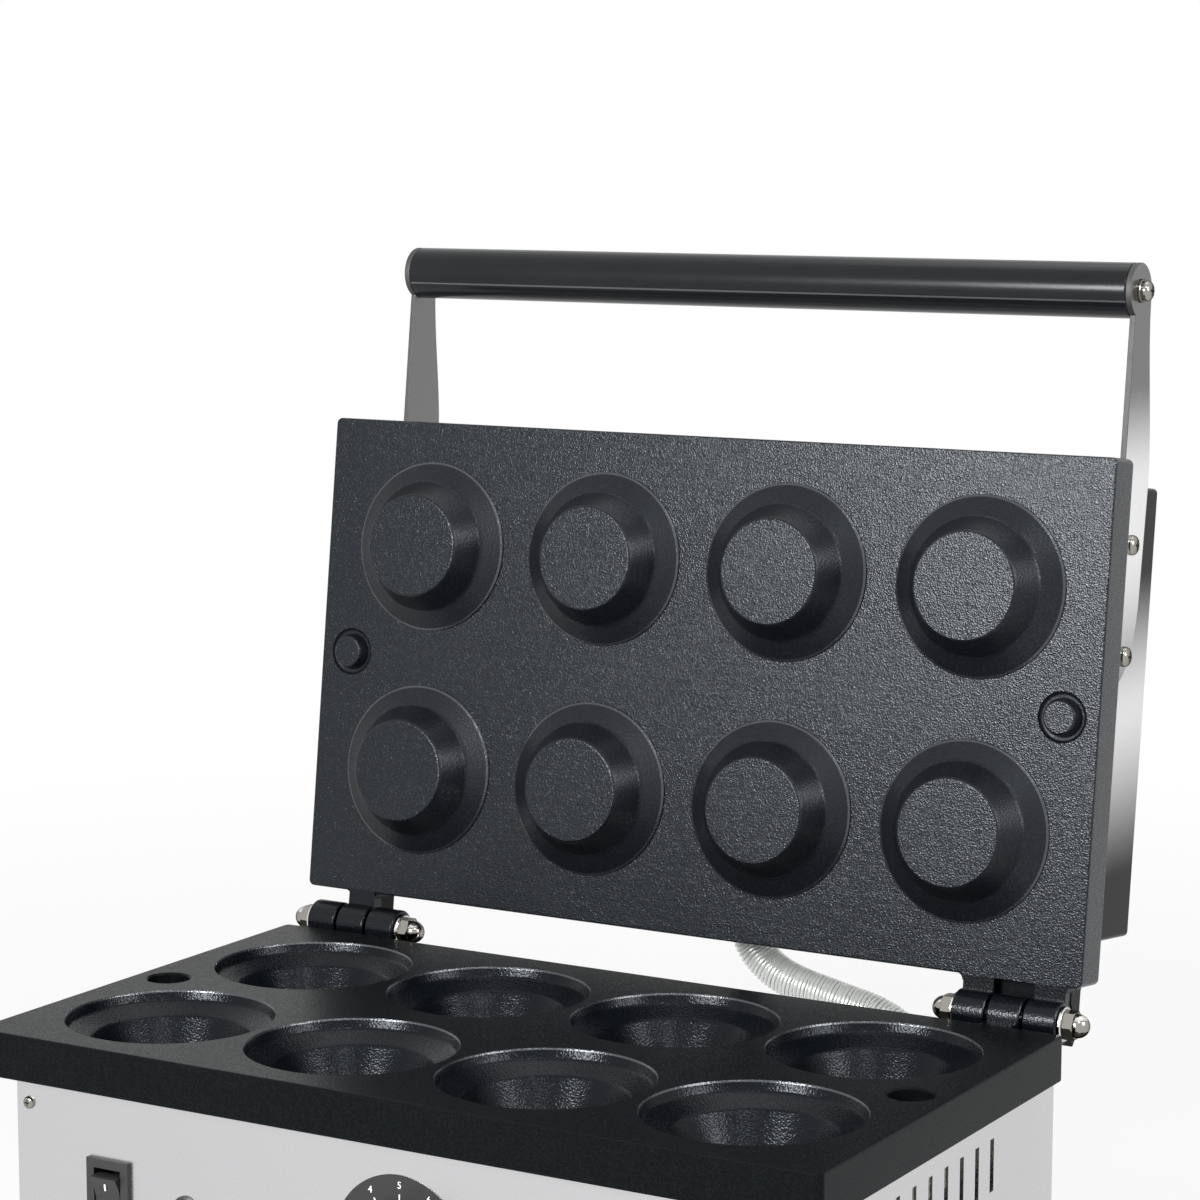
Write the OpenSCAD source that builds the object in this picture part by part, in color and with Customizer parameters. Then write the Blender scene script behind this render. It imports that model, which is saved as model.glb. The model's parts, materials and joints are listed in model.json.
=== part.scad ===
// Countertop baking press with two hinged cast plates, eight moulds each.
// Frame: +X right, +Y back, +Z up, in millimetres. The origin lies on the table,
// under the middle of the outline with the lid open.
// Parts are drawn about the hinge axis as if the lid were shut: -Y is forward and
// +Z up, with the parting plane at Z = 0. base_frame() and lid_frame() then set them.

/* [Cast plates] */
// Width of each cast plate
plate_w = 425; // [410:1:460]
// Front to back depth of each cast plate
plate_d = 240; // [230:1:270]
// Height of the plate's rim
plate_t = 21; // [18:0.5:26]
// Thickness of the plate's web behind its face
web_t = 8; // [6:0.5:10]
// Width of the thick land round the plate's back
land_w = 26; // [25:1:34]
// Corner radius of the plate
plate_corner_r = 3; // [2:0.5:12]
// From the hinge axis to the plate's back edge
plate_setback = 16.5; // [16:0.5:20]
// Gap between the shut plates
part_gap = 0.6; // [0.4:0.1:1.5]

/* [Moulds] */
// Sideways distance between mould centres
mould_pitch_x = 100; // [97:0.5:102]
// Front to back distance between mould centres
mould_pitch_y = 112.5; // [105:0.5:118]
// How far the moulds sit forward of the plate's middle
mould_forward = 1.5; // [0:0.5:3]
// Radius of a cup's rim
cup_rim_r = 47.5; // [44:0.5:48]
// Depth of the short wall under the rim
cup_step_h = 4; // [2:0.5:5]
// Depth at the bottom of the sloping ledge
cup_ledge_h = 9; // [7:0.5:11]
// Depth of a cup
cup_h = 24; // [21:0.5:28]
// Wall of the casting round a cup
cup_wall = 4.5; // [3.5:0.5:6]
// Even clearance that the batter fills between a cup and its plug
shell_gap = 4.2; // [3:0.1:5]
// Radius of a plug's face
plug_r = 25; // [22:0.5:27]
// Radius where a plug's cone meets its brim
plug_foot_r = 32; // [29:0.5:34]
// Radius of a plug's brim
brim_r = 42.5; // [40:0.5:43]
// Height of a plug above the plate
plug_h = 19.2; // [16:0.2:20]
// Height of the brim's inner edge above the plate
brim_h = 6; // [4:0.5:7]

/* [Locators] */
// From the plate's side edge in to a locating pin
pin_inset = 18; // [16:0.5:20]
// Radius of a locating pin
pin_r = 8.4; // [6:0.2:9]
// Height of a locating pin
pin_h = 4.3; // [3:0.1:5]
// Radial clearance of a pin in its socket
pin_play = 1.6; // [1:0.1:2]

/* [Hinge] */
// How far the lid opens, from shut
open_angle = 97; // [92:1:104]
// Radius of the hinge barrels
barrel_r = 10; // [9:0.5:11.5]
// From the plate's side edge in to a hinge's middle
hinge_inset = 33.2; // [32:0.1:42]
// Width of one hinge knuckle
knuckle_w = 16.2; // [14:0.2:16.6]
// Gap between knuckles
knuckle_gap = 1.4; // [0.8:0.1:2]
// Radius of the hinge bolt
bolt_r = 4; // [3:0.5:5]
// Radial running clearance of the hinge bolt
bolt_play = 0.06; // [0.03:0.01:0.1]

/* [Lid] */
// From the plate's side edge in to the cover's side wall
cover_inset = 15.5; // [14:0.5:17]
// From the parting plane to the cover's top
cover_top = 94.5; // [85:0.5:110]
// From the hinge axis to the cover's back wall
cover_back = 31.3; // [28:0.1:36]
// From the plate's front edge back to the cover's front wall
cover_setback = 11.5; // [8:0.5:14]
// Sheet thickness of the cover and housing
sheet_t = 1.2; // [0.8:0.1:1.5]

/* [Handle] */
// From the hinge axis forward to the bar's middle
bar_forward = 335; // [320:1:350]
// From the parting plane up to the bar's middle
bar_up = 48; // [44:1:52]
// Radius of the bar
bar_r = 13; // [11:0.5:14]
// Wall of the bar's tube
bar_wall = 3; // [2:0.5:4]
// Thickness of a handle arm
arm_t = 3; // [2.5:0.5:4]
// Radius of the handle screws
handle_screw_r = 2.5; // [2:0.5:3]

/* [Base] */
// Height of the hinge axis above the table
axis_h = 140; // [132:1:160]
// Height of the rubber feet
foot_h = 22; // [16:1:26]
// Radius of a foot where it meets the floor pan
foot_r = 16; // [12:1:18]
// How far the housing reaches behind the hinge axis
housing_behind = 12; // [6:1:20]
// Radius of a control knob
knob_r = 22; // [18:1:25]
// How far a knob stands out
knob_h = 20; // [15:1:24]
// Sideways place of the timer
timer_x = 10; // [0:1:20]
// Sideways place of the thermostat
thermostat_x = 118; // [110:1:126]
// Sideways place of the power switch
switch_x = -145; // [-152:1:-138]

/* [Heaters] */
// Radius of a tubular heating element
element_r = 4.25; // [3:0.25:5]
// Thickness of the mineral wool pads
wool_t = 20; // [12:1:24]

/* [Conduit] */
// Radius of the sprung wire conduit
conduit_r = 9; // [7:0.5:10]

/* [Hidden] */

$fn = 64;
eps = 0.01;
seat = 0.05;            // radial clearance of a fastener in its hole
half_gap = part_gap / 2;
mould_mid = plate_setback + plate_d / 2 + mould_forward;
plate_front = plate_setback + plate_d;
pin_x = plate_w / 2 - pin_inset;
cover_w = plate_w - 2 * cover_inset;
cover_front = plate_front - cover_setback;
plate_under = plate_t + half_gap;
cup_step_r = cup_rim_r - 1;
cup_ledge_r = plug_foot_r + shell_gap;
cup_floor_r = plug_r + shell_gap * 0.85;
cup_under = half_gap + cup_h + cup_wall;
socket_r = pin_r + pin_play;
socket_h = pin_h + 2;
pin_groove_r = pin_r + 3.4;
pin_groove_h = 1.5;

// hinge
hinge_x = plate_w / 2 - hinge_inset;
knuckle_x = [-1, 0, 1] * (knuckle_w + knuckle_gap);
hinge_half = knuckle_w * 1.5 + knuckle_gap;
lug_h = plate_t - 2;
lug_drop = 1.5;
lug_fillet = 3;
barrel_ease = 1.2;
bridge_drop = 8;        // the bridge's set-back from the parting plane
heel_r = barrel_r + 8;
heel_stop = 0.4;        // degrees kept free between each heel and the stop plane
heel_end = 270 + (180 - open_angle) / 2 - heel_stop;
relief_r = barrel_r + 1.5;
washer_r = bolt_r * 2;
washer_t = 1.6;
washer_play = 0.2;
nut_af = bolt_r * 3.25;
nut_h = bolt_r * 1.6;
dome_r = nut_af / 2 - 0.3;

// base
housing_top = plate_under;
housing_bottom = axis_h - foot_h;
housing_mid_z = -(housing_top + housing_bottom) / 2;
pan_t = 1.5;
flange_w = 12;
foot_x = cover_w / 2 - 30;
foot_front = cover_front - 25;
foot_back = -housing_behind + 22;
foot_screw_r = 2.5;
panel_t = 1.2;
dial_r = 34;
dial_t = 0.6;
knob_play = 1;
knob_front = cover_front + panel_t + dial_t + knob_play + knob_h;
shaft_r = 3;
thermostat_w = 36;
thermostat_h = 46;
timer_w = 48;
control_d = 30;         // reach of a control's body behind the panel
lamp_x = [switch_x + 42, switch_x + 70];
lamp_r = 5.5;
rocker_w = 14;
rocker_h = 24;
rocker_tilt = 9;
plate_bolt_inset = 10;  // from the cover's side wall
plate_bolt_back = 7.2;  // from the cover's back wall
plate_bolt_ahead = 10.5; // from the cover's front wall
plate_bolt_x = cover_w / 2 - plate_bolt_inset;
plate_bolt_y = [cover_back + plate_bolt_back, cover_front - plate_bolt_ahead];
plate_bolt_r = 2.5;
pan_screw_inset = 60;   // from the housing's side wall
panel_screw_rise = 36;  // from the panel's middle
side_vent_pitch = 16;
side_vent_rise = 18;
back_vent_x = [-50, 10]; // middles of the back's two groups of vents
back_vent_pitch = 12;
back_vent_h = 30;
floor_vent_l = 40;
floor_vent_pitch = 10;
floor_vent_spacing = 80;
gland_x = -150;
gland_z = -92;
gland_r = 8;
gland_bore_r = 4.2;
gland_nut_af = 22;
terminal_x = -120;
terminal_y = 60;
terminal_screw_r = 2;
earth_x = -75;
earth_r = 2.5;

// heaters
row_y = [mould_mid - mould_pitch_y / 2, mould_mid + mould_pitch_y / 2];
element_turn_r = 14;
element_hole_r = element_r + 3;
element_land_gap = 10.25; // from the land to the elements' cold ends
element_end_x = plate_w / 2 - land_w - element_turn_r - element_r - element_land_gap;
cold_pin_l = 12;
cold_pin_r = 2;
lower_element_z = -(cup_under + element_r);
upper_element_z = half_gap + web_t + element_r;
clamp_t = 3;
clamp_w = 22;
clamp_overlap = 12;     // reach of a clamp bar past each row's element
clamp_post_r = 8;
clamp_screw_r = 3;
lower_clamp_z = lower_element_z - element_r;
upper_clamp_z = upper_element_z + element_r;
wool_w = cover_w - 30;
wool_control_gap = 1;   // from a control's body to the lower pad
wool_d = 2 * (cover_front - control_d - wool_control_gap - mould_mid);
shield_t = 1;
clamp_screw_l = clamp_t + wool_t + shield_t + 2 * element_r - 2;
sensor_tube_r = 1.2;
sensor_drop_x = mould_pitch_x / 2 + 34;

// conduit
collar_x = 125;
collar_z = -60;
lid_collar_x = 13;
lid_collar_up = 55;
collar_r = conduit_r + 3;
collar_flange_r = conduit_r + 7;
collar_l = 10;
lid_collar_l = 6;
conduit_lead = 2;       // straight stretch out of each collar
// stations of the open conduit between its two collars, from the hinge axis
conduit_route = [
    [124, 34, -57], [118, 44, -46], [106, 51, -33], [88, 53.5, -24], [66, 54, -19],
    [44, 54, -14], [30.5, 54, -8.5], [20.5, 54.5, -0.5], [15, 55.5, 8.5]
];

// frame: the outline is centred on Y with the lid open
back_reach = -plate_bolt_y[1] * cos(open_angle) + (cover_top + plate_bolt_r * 1.2) * sin(open_angle);
hinge_y = (knob_front - back_reach) / 2;

COATING = [0.13, 0.135, 0.145];
STEEL = [0.75, 0.75, 0.74];
BLACK = [0.06, 0.06, 0.065];
NICKEL = [0.82, 0.8, 0.76];
RUBBER = [0.08, 0.08, 0.08];
WOOL = [0.86, 0.82, 0.7];
ZINC = [0.66, 0.67, 0.66];

// ---------------------------------------------------------------- frames
module base_frame() {
    translate([0, hinge_y, axis_h]) children();
}

module lid_frame() {
    translate([0, hinge_y, axis_h]) rotate([-open_angle, 0, 0]) children();
}

// ---------------------------------------------------------------- helpers
// a cylinder along X, from x0, with length l
module rod_x(r, l, x0 = 0) {
    translate([x0, 0, 0]) rotate([0, 90, 0]) cylinder(r = r, h = l);
}

// a cylinder pointing forward, from the origin
module rod_front(r, l) {
    rotate([90, 0, 0]) cylinder(r = r, h = l);
}

// an outline in the YZ plane drawn out along X
module along_x(x0, l) {
    translate([x0, 0, 0]) rotate([90, 0, 90]) linear_extrude(l) children();
}

module rounded_slab(w, d, t, r) {
    linear_extrude(t) rounded_rect(w, d, r);
}

module rounded_rect(w, d, r) {
    for (s = [-1, 1]) {
        square([w - 2 * r, d], center = true);
        square([w, d - 2 * r], center = true);
        for (q = [-1, 1]) translate([s * (w / 2 - r), q * (d / 2 - r)]) circle(r);
    }
}

module hexagon(af, h) {
    cylinder(r = af / 2 / cos(30), h = h, $fn = 6);
}

// a pan head screw along +Z: the head's underside is at Z = 0 and the shank hangs down
module pan_screw(r, l) {
    head_r = r * 1.9;
    head_h = r * 1.2;
    translate([0, 0, -l]) cylinder(r = r, h = l);
    difference() {
        intersection() {
            cylinder(r = head_r, h = head_h);
            translate([0, 0, head_h - head_r * 1.5]) sphere(head_r * 1.5);
        }
        translate([0, 0, head_h]) for (a = [0, 90]) rotate(a)
            cube([r * 1.9, r * 0.42, r * 1.1], center = true);
    }
}

function mould_xs() = [for (i = [-1.5, -0.5, 0.5, 1.5]) i * mould_pitch_x];

module at_moulds() {
    for (x = mould_xs(), y = row_y) translate([x, -y, 0]) children();
}

module at_corners(x, ys) {
    for (s = [-1, 1], y = ys) translate([s * x, -y, 0]) children();
}

module at_clamps() {
    for (x = [-1, 0, 1] * mould_pitch_x) translate([x, -mould_mid, 0]) children();
}

function arc(r, a0, a1, n) =
    [for (i = [0:n]) let (a = a0 + (a1 - a0) * i / n) [r * cos(a), r * sin(a)]];

// ---------------------------------------------------------------- castings
// the block that joins a barrel to the plate's edge, in the YZ plane
module lug_block() {
    polygon([
        [-plate_setback - 3, -lug_drop], [-barrel_r / 2, -lug_drop],
        [0, -barrel_r / 2], [0, -lug_h], [-plate_setback - 3, -lug_h]
    ]);
}

// the sector that meets the other plate's when the lid stands open
module heel_sector() {
    polygon(concat([[0, 0]], arc(heel_r, 181, heel_end, 16)));
}

// a knuckle: a barrel with eased ends, and its block with a fillet at the plate
module knuckle(x, heel) {
    half = knuckle_w / 2;
    translate([x, 0, 0]) rotate([0, 90, 0]) rotate_extrude() polygon([
        [0, -half], [barrel_r - barrel_ease, -half], [barrel_r, -half + barrel_ease],
        [barrel_r, half - barrel_ease], [barrel_r - barrel_ease, half], [0, half]
    ]);
    along_x(x - half + 0.4, knuckle_w - 0.8) {
        lug_block();
        if (heel) heel_sector();
    }
    for (s = [-1, 1]) translate([x + s * (half - 0.4), -plate_setback, -lug_h])
        linear_extrude(lug_h - lug_drop) difference() {
            translate([s > 0 ? -0.5 : -lug_fillet, -0.5]) square(lug_fillet + 0.5);
            translate([s * lug_fillet, lug_fillet]) circle(lug_fillet);
        }
}

// the bridge between two knuckles, hollowed round the other plate's knuckle and
// set back from the parting plane
module bridge_outline() {
    difference() {
        union() {
            lug_block();
            heel_sector();
        }
        circle(relief_r);
        translate([-plate_setback, -bridge_drop]) square(2 * heel_r);
    }
}

// a plate without moulds, face up with its face just under the parting plane:
// two knuckles on the left and one on the right, as both plates are cast alike
module casting_blank(pad_h) {
    mid_y = -plate_setback - plate_d / 2;
    difference() {
        union() {
            translate([0, mid_y, -half_gap - plate_t])
                rounded_slab(plate_w, plate_d, plate_t, plate_corner_r);
            for (x = [knuckle_x[0], knuckle_x[2]]) knuckle(-hinge_x + x, false);
            along_x(-hinge_x - hinge_half, 2 * hinge_half) bridge_outline();
            knuckle(hinge_x, true);
        }
        translate([0, mid_y, -half_gap - plate_t - 1])
            rounded_slab(plate_w - 2 * land_w, plate_d - 2 * land_w,
                plate_t - web_t + 1, plate_corner_r);
        for (s = [-1, 1]) rod_x(bolt_r + bolt_play, 2 * hinge_half + 2,
            s * hinge_x - hinge_half - 1);
        // the bridge leaves room for the other plate's knuckle
        rod_x(relief_r, knuckle_w + 2 * knuckle_gap, -hinge_x - knuckle_w / 2 - knuckle_gap);
    }
    at_clamps() translate([0, 0, -half_gap - web_t - pad_h])
        difference() {
            cylinder(r = clamp_post_r, h = pad_h + 1);
            translate([0, 0, -eps]) cylinder(r = clamp_screw_r + seat, h = pad_h - 1);
        }
}

// the open space of one cup, downwards from the plate's face
module cup_space() {
    rotate_extrude() polygon([
        [0, 1], [cup_rim_r + 0.4, 1], [cup_rim_r + 0.4, 0], [cup_rim_r, -0.5],
        [cup_step_r, -cup_step_h], [cup_step_r - 1.5, -cup_step_h - 0.9],
        [cup_ledge_r + 1, -cup_ledge_h + 0.2], [cup_ledge_r, -cup_ledge_h - 0.6],
        [cup_floor_r + 0.6, -cup_h + 2], [cup_floor_r - 1.6, -cup_h], [0, -cup_h]
    ]);
}

// the cup's outer shell under the web
module cup_shell() {
    rotate_extrude() polygon([
        [0, -web_t + 1], [cup_step_r + cup_wall - 4, -web_t + 1],
        [cup_step_r + cup_wall - 4, -web_t], [cup_ledge_r + cup_wall, -cup_ledge_h - 3],
        [cup_floor_r + cup_wall, -cup_h - cup_wall], [0, -cup_h - cup_wall]
    ]);
}

module lower_plate() {
    color(COATING) base_frame() difference() {
        union() {
            casting_blank(cup_under - half_gap - web_t + 2 * element_r);
            at_moulds() translate([0, 0, -half_gap]) cup_shell();
            at_corners(pin_x, [mould_mid]) translate([0, 0, -half_gap - socket_h - 4])
                cylinder(r = socket_r + 3, h = socket_h);
        }
        at_moulds() translate([0, 0, -half_gap]) cup_space();
        at_corners(pin_x, [mould_mid]) translate([0, 0, -half_gap - socket_h]) {
            cylinder(r = socket_r, h = socket_h + 1);
            translate([0, 0, socket_h - 0.8])
                cylinder(r1 = socket_r, r2 = socket_r + 0.9, h = 0.81);
        }
        at_corners(plate_bolt_x, plate_bolt_y) translate([0, 0, -plate_under - 1])
            cylinder(r = plate_bolt_r + seat, h = 13);
    }
}

// one plug, standing up from the plate's face
module plug() {
    rotate_extrude() polygon([
        [0, -1], [brim_r, -1], [brim_r, 0], [brim_r - 0.4, 0.9], [brim_r - 1.2, 1.2],
        [plug_foot_r + 0.8, brim_h - 0.3], [plug_foot_r, brim_h + 0.5],
        [plug_r + 0.6, plug_h - 0.9], [plug_r - 0.4, plug_h], [0, plug_h]
    ]);
}

module locating_pin() {
    rotate_extrude() polygon([
        [0, -3], [pin_r + 0.3, -3], [pin_r, pin_h - 0.8], [pin_r - 0.8, pin_h], [0, pin_h]
    ]);
}

module upper_plate() {
    color(COATING) lid_frame() rotate([0, 180, 0]) union() {
        difference() {
            casting_blank(2 * element_r);
            at_corners(pin_x, [mould_mid]) translate([0, 0, -half_gap - pin_groove_h])
                cylinder(r1 = pin_groove_r - 0.8, r2 = pin_groove_r, h = pin_groove_h + eps);
            at_corners(plate_bolt_x, plate_bolt_y) translate([0, 0, -plate_under - 1])
                cylinder(r = plate_bolt_r + seat, h = 13);
        }
        at_moulds() translate([0, 0, -half_gap]) plug();
        at_corners(pin_x, [mould_mid]) translate([0, 0, -half_gap]) locating_pin();
    }
}

// ---------------------------------------------------------------- hinge hardware
module acorn_nut() {
    difference() {
        union() {
            intersection() {
                hexagon(nut_af, nut_h);
                translate([0, 0, nut_h - nut_af * 0.62])
                    cylinder(r1 = nut_af * 1.12, r2 = nut_af / 2, h = nut_af * 0.62);
            }
            translate([0, 0, nut_h - 0.5]) cylinder(r = dome_r, h = 1);
            translate([0, 0, nut_h + 0.5]) sphere(dome_r);
        }
        translate([0, 0, -eps]) cylinder(r = bolt_r + seat, h = nut_h + 1);
        translate([0, 0, -2 * nut_af]) cube([4 * nut_af, 4 * nut_af, 4 * nut_af], center = true);
    }
}

module at_hinge_ends() {
    for (h = [-1, 1], e = [-1, 1]) translate([h * hinge_x + e * (hinge_half + washer_play), 0, 0])
        rotate([0, e * 90, 0]) children();
}

module hinge_washers() {
    color(NICKEL) base_frame() at_hinge_ends() difference() {
        cylinder(r = washer_r, h = washer_t);
        translate([0, 0, -1]) cylinder(r = bolt_r + seat, h = washer_t + 2);
    }
}

module acorn_nuts() {
    color(NICKEL) base_frame() at_hinge_ends() translate([0, 0, washer_t]) acorn_nut();
}

module hinge_bolt(side) {
    half = hinge_half + washer_play + washer_t + nut_h;
    color(NICKEL) base_frame() rod_x(bolt_r, 2 * half, side * hinge_x - half);
}

// ---------------------------------------------------------------- housing
module vent_row(n, pitch, slot, h) {
    for (i = [0:n - 1]) translate([(i - (n - 1) / 2) * pitch, 0, 0])
        cube([slot, 10, h], center = true);
}

module base_housing() {
    w = cover_w;
    d = cover_front + housing_behind;
    h = housing_bottom - housing_top;
    mid_y = (housing_behind - cover_front) / 2;
    in_w = plate_w - 2 * land_w - 2;
    in_d = plate_d - 2 * land_w - 2;
    color(STEEL) base_frame() difference() {
        translate([0, mid_y, -housing_bottom]) rounded_slab(w, d, h, 2.5);
        translate([0, mid_y, -housing_bottom - 1])
            rounded_slab(w - 2 * sheet_t, d - 2 * sheet_t, h + 1 - sheet_t, 1.5);
        // the moulds hang through the top
        translate([-in_w / 2, -plate_front + land_w + 1, -housing_top - 5]) cube([in_w, in_d, 10]);
        at_moulds() translate([0, 0, -housing_top - 5])
            cylinder(r = cup_ledge_r + cup_wall - 1, h = 10);
        // the front opening, between two return flanges
        translate([-w / 2 + flange_w, -cover_front - 1, -housing_bottom - 1])
            cube([w - 2 * flange_w, 5, h + 1 - flange_w]);
        at_corners(plate_bolt_x, plate_bolt_y) translate([0, 0, -housing_top - 5])
            cylinder(r = plate_bolt_r + 0.3, h = 10);
        for (s = [-1, 1], u = [-1, 1])
            translate([s * w / 2, -cover_front / 2, housing_mid_z + u * side_vent_rise])
                rotate(90) vent_row(9, side_vent_pitch, 4, 24);
        for (x = back_vent_x) translate([x, housing_behind, housing_mid_z])
            vent_row(4, back_vent_pitch, 4, back_vent_h);
        translate([collar_x, housing_behind + 2, collar_z]) rod_front(collar_r + seat, 10);
        translate([gland_x, housing_behind + 2, gland_z]) rod_front(gland_r + seat, 10);
        at_panel_screws() translate([0, 5, 0]) rod_front(1.5 + seat, 10);
    }
    // the back's lower return, which the floor pan's rear screws hold
    color(STEEL) base_frame() difference() {
        translate([-w / 2 + sheet_t / 2, housing_behind - sheet_t - flange_w, -housing_bottom + pan_t])
            cube([w - sheet_t, flange_w + sheet_t / 2, sheet_t]);
        at_pan_screws() translate([0, 0, -housing_bottom - 5]) cylinder(r = 1.5 + seat, h = 20);
    }
}

module at_panel_screws() {
    for (s = [-1, 1], u = [-1, 1])
        translate([s * (cover_w / 2 - flange_w / 2 - 1), -cover_front, housing_mid_z + u * panel_screw_rise])
            children();
}

module at_pan_screws() {
    x = cover_w / 2 - pan_screw_inset;
    for (s = [-1, 0, 1]) translate([s * x, housing_behind - sheet_t - flange_w / 2, 0]) children();
    for (s = [-1, 1]) translate([s * x, -cover_front + flange_w / 2, 0]) children();
}

module front_panel() {
    w = cover_w;
    h = housing_bottom - housing_top;
    color(STEEL) base_frame() difference() {
        union() {
            translate([-w / 2, -cover_front - panel_t, -housing_bottom]) cube([w, panel_t, h]);
            // the lower return lies on the floor pan
            translate([-w / 2 + flange_w + 1, -cover_front - eps, -housing_bottom + pan_t])
                cube([w - 2 * flange_w - 2, flange_w, sheet_t]);
        }
        for (x = [timer_x, thermostat_x]) translate([x, -cover_front + 2, housing_mid_z])
            rod_front(5 + seat, 8);
        for (x = lamp_x) translate([x, -cover_front + 2, housing_mid_z]) rod_front(lamp_r - 1 + seat, 8);
        translate([switch_x, -cover_front, housing_mid_z])
            cube([rocker_w + 5.1, 8, rocker_h + 5.1], center = true);
        at_panel_screws() translate([0, 2, 0]) rod_front(1.5 + seat, 8);
        at_pan_screws() translate([0, 0, -housing_bottom - 5]) cylinder(r = 1.5 + seat, h = 20);
    }
}

module floor_pan() {
    d = cover_front + housing_behind - 2 * sheet_t - 0.4;
    color(ZINC) base_frame() difference() {
        translate([0, (housing_behind - cover_front) / 2, -housing_bottom])
            rounded_slab(cover_w - 2 * sheet_t - 0.4, d, pan_t, 2);
        for (i = [-1, 0, 1], y = [0.35, 0.65])
            translate([i * floor_vent_spacing, -y * cover_front, -housing_bottom])
                rotate([90, 0, 0]) vent_row(5, floor_vent_pitch, 4, floor_vent_l);
        at_feet() cylinder(r = foot_screw_r + seat, h = 20, center = true);
        at_pan_screws() translate([0, 0, -housing_bottom - 5]) cylinder(r = 1.5 + seat, h = 20);
        translate([terminal_x, -terminal_y, -housing_bottom])
            cylinder(r = terminal_screw_r + seat, h = 9, center = true);
        translate([earth_x, -terminal_y, -housing_bottom])
            cylinder(r = earth_r + seat, h = 9, center = true);
    }
}

module at_feet() {
    at_corners(foot_x, [foot_front, foot_back]) translate([0, 0, -housing_bottom]) children();
}

module rubber_feet() {
    color(RUBBER) base_frame() at_feet() translate([0, 0, -foot_h]) rotate_extrude() polygon([
        [3, 3], [foot_r - 5, 3], [foot_r - 5, 0], [foot_r - 1, 0], [foot_r - 0.2, 1],
        [foot_r + 1, foot_h], [foot_screw_r + seat, foot_h], [foot_screw_r + seat, 8],
        [6, 8], [6, 3]
    ]);
}

module foot_screws() {
    color(ZINC) base_frame() at_feet() {
        translate([0, 0, -foot_h + 8]) mirror([0, 0, 1]) pan_screw(foot_screw_r, foot_h - 8 + pan_t + 6);
        translate([0, 0, pan_t]) hexagon(8, 4);
    }
}

module panel_screws() {
    color(NICKEL) base_frame() at_panel_screws()
        translate([0, -panel_t, 0]) rotate([90, 0, 0]) pan_screw(1.5, 7);
}

module pan_screws() {
    color(ZINC) base_frame() at_pan_screws() translate([0, 0, -housing_bottom])
        mirror([0, 0, 1]) pan_screw(1.5, 7);
}

module lower_plate_bolts() {
    color(ZINC) base_frame() at_corners(plate_bolt_x, plate_bolt_y)
        translate([0, 0, -housing_top - sheet_t]) mirror([0, 0, 1]) pan_screw(plate_bolt_r, 12);
}

// ---------------------------------------------------------------- heaters
// a hairpin under both rows of moulds, with cold ends turned away from the plate
module element(away) {
    bend_r = mould_pitch_y / 2;
    turn_r = element_turn_r;
    lead = turn_r * 0.7;
    for (s = [-1, 1]) translate([0, s * bend_r, 0]) {
        rod_x(element_r, element_end_x + mould_pitch_x, -mould_pitch_x);
        translate([element_end_x, 0, away * turn_r]) rotate([90, 0, 0])
            rotate(away > 0 ? -90 : 0) rotate_extrude(angle = 90)
                translate([turn_r, 0]) circle(element_r);
        translate([element_end_x + turn_r, 0, away * (turn_r + lead / 2)])
            cylinder(r = element_r, h = lead + 2 * eps, center = true);
        translate([element_end_x + turn_r, 0, away * (turn_r + lead + cold_pin_l / 2)])
            cylinder(r = cold_pin_r, h = cold_pin_l + 2 * eps, center = true);
    }
    translate([-mould_pitch_x, 0, 0]) rotate(90) rotate_extrude(angle = 180)
        translate([bend_r, 0]) circle(element_r);
}

module clamp_bars() {
    at_clamps() difference() {
        cube([clamp_w, mould_pitch_y + 2 * clamp_overlap, clamp_t], center = true);
        cylinder(r = clamp_screw_r + seat, h = 20, center = true);
    }
}

module wool_pad() {
    difference() {
        translate([0, -mould_mid, 0]) rounded_slab(wool_w, wool_d, wool_t, 6);
        at_clamps() translate([0, 0, -1]) cylinder(r = clamp_screw_r + 0.5, h = wool_t + 2);
        element_holes();
    }
}

// the hairpin's cold ends pass through the pad and shield
module element_holes() {
    for (y = row_y) translate([element_end_x + element_turn_r, -y, -3 * wool_t])
        cylinder(r = element_hole_r, h = 6 * wool_t);
}

module heat_shield() {
    difference() {
        translate([0, -mould_mid, 0]) rounded_slab(wool_w, wool_d, shield_t, 6);
        at_clamps() translate([0, 0, -1]) cylinder(r = clamp_screw_r + seat, h = shield_t + 2);
        element_holes();
    }
}

// the sensor's tube passes down through the lower pad and shield
module tube_hole() {
    translate([sensor_drop_x, -mould_mid, -1]) cylinder(r = sensor_tube_r + 1, h = wool_t + 2);
}

module lower_element() {
    color(ZINC) base_frame() translate([0, -mould_mid, lower_element_z]) element(-1);
}

module lower_clamp_bars() {
    color(ZINC) base_frame() translate([0, 0, lower_clamp_z - clamp_t / 2]) clamp_bars();
}

module lower_wool_pad() {
    color(WOOL) base_frame() translate([0, 0, lower_clamp_z - clamp_t - wool_t]) difference() {
        wool_pad();
        tube_hole();
    }
}

module lower_heat_shield() {
    color(ZINC) base_frame() translate([0, 0, lower_clamp_z - clamp_t - wool_t - shield_t]) difference() {
        heat_shield();
        tube_hole();
    }
}

module lower_clamp_screws() {
    color(ZINC) base_frame() at_clamps()
        translate([0, 0, lower_clamp_z - clamp_t - wool_t - shield_t])
            mirror([0, 0, 1]) pan_screw(clamp_screw_r, clamp_screw_l);
}

module upper_element() {
    color(ZINC) lid_frame() translate([0, -mould_mid, upper_element_z]) element(1);
}

module upper_clamp_bars() {
    color(ZINC) lid_frame() translate([0, 0, upper_clamp_z + clamp_t / 2]) clamp_bars();
}

module upper_wool_pad() {
    color(WOOL) lid_frame() translate([0, 0, upper_clamp_z + clamp_t]) wool_pad();
}

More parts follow.
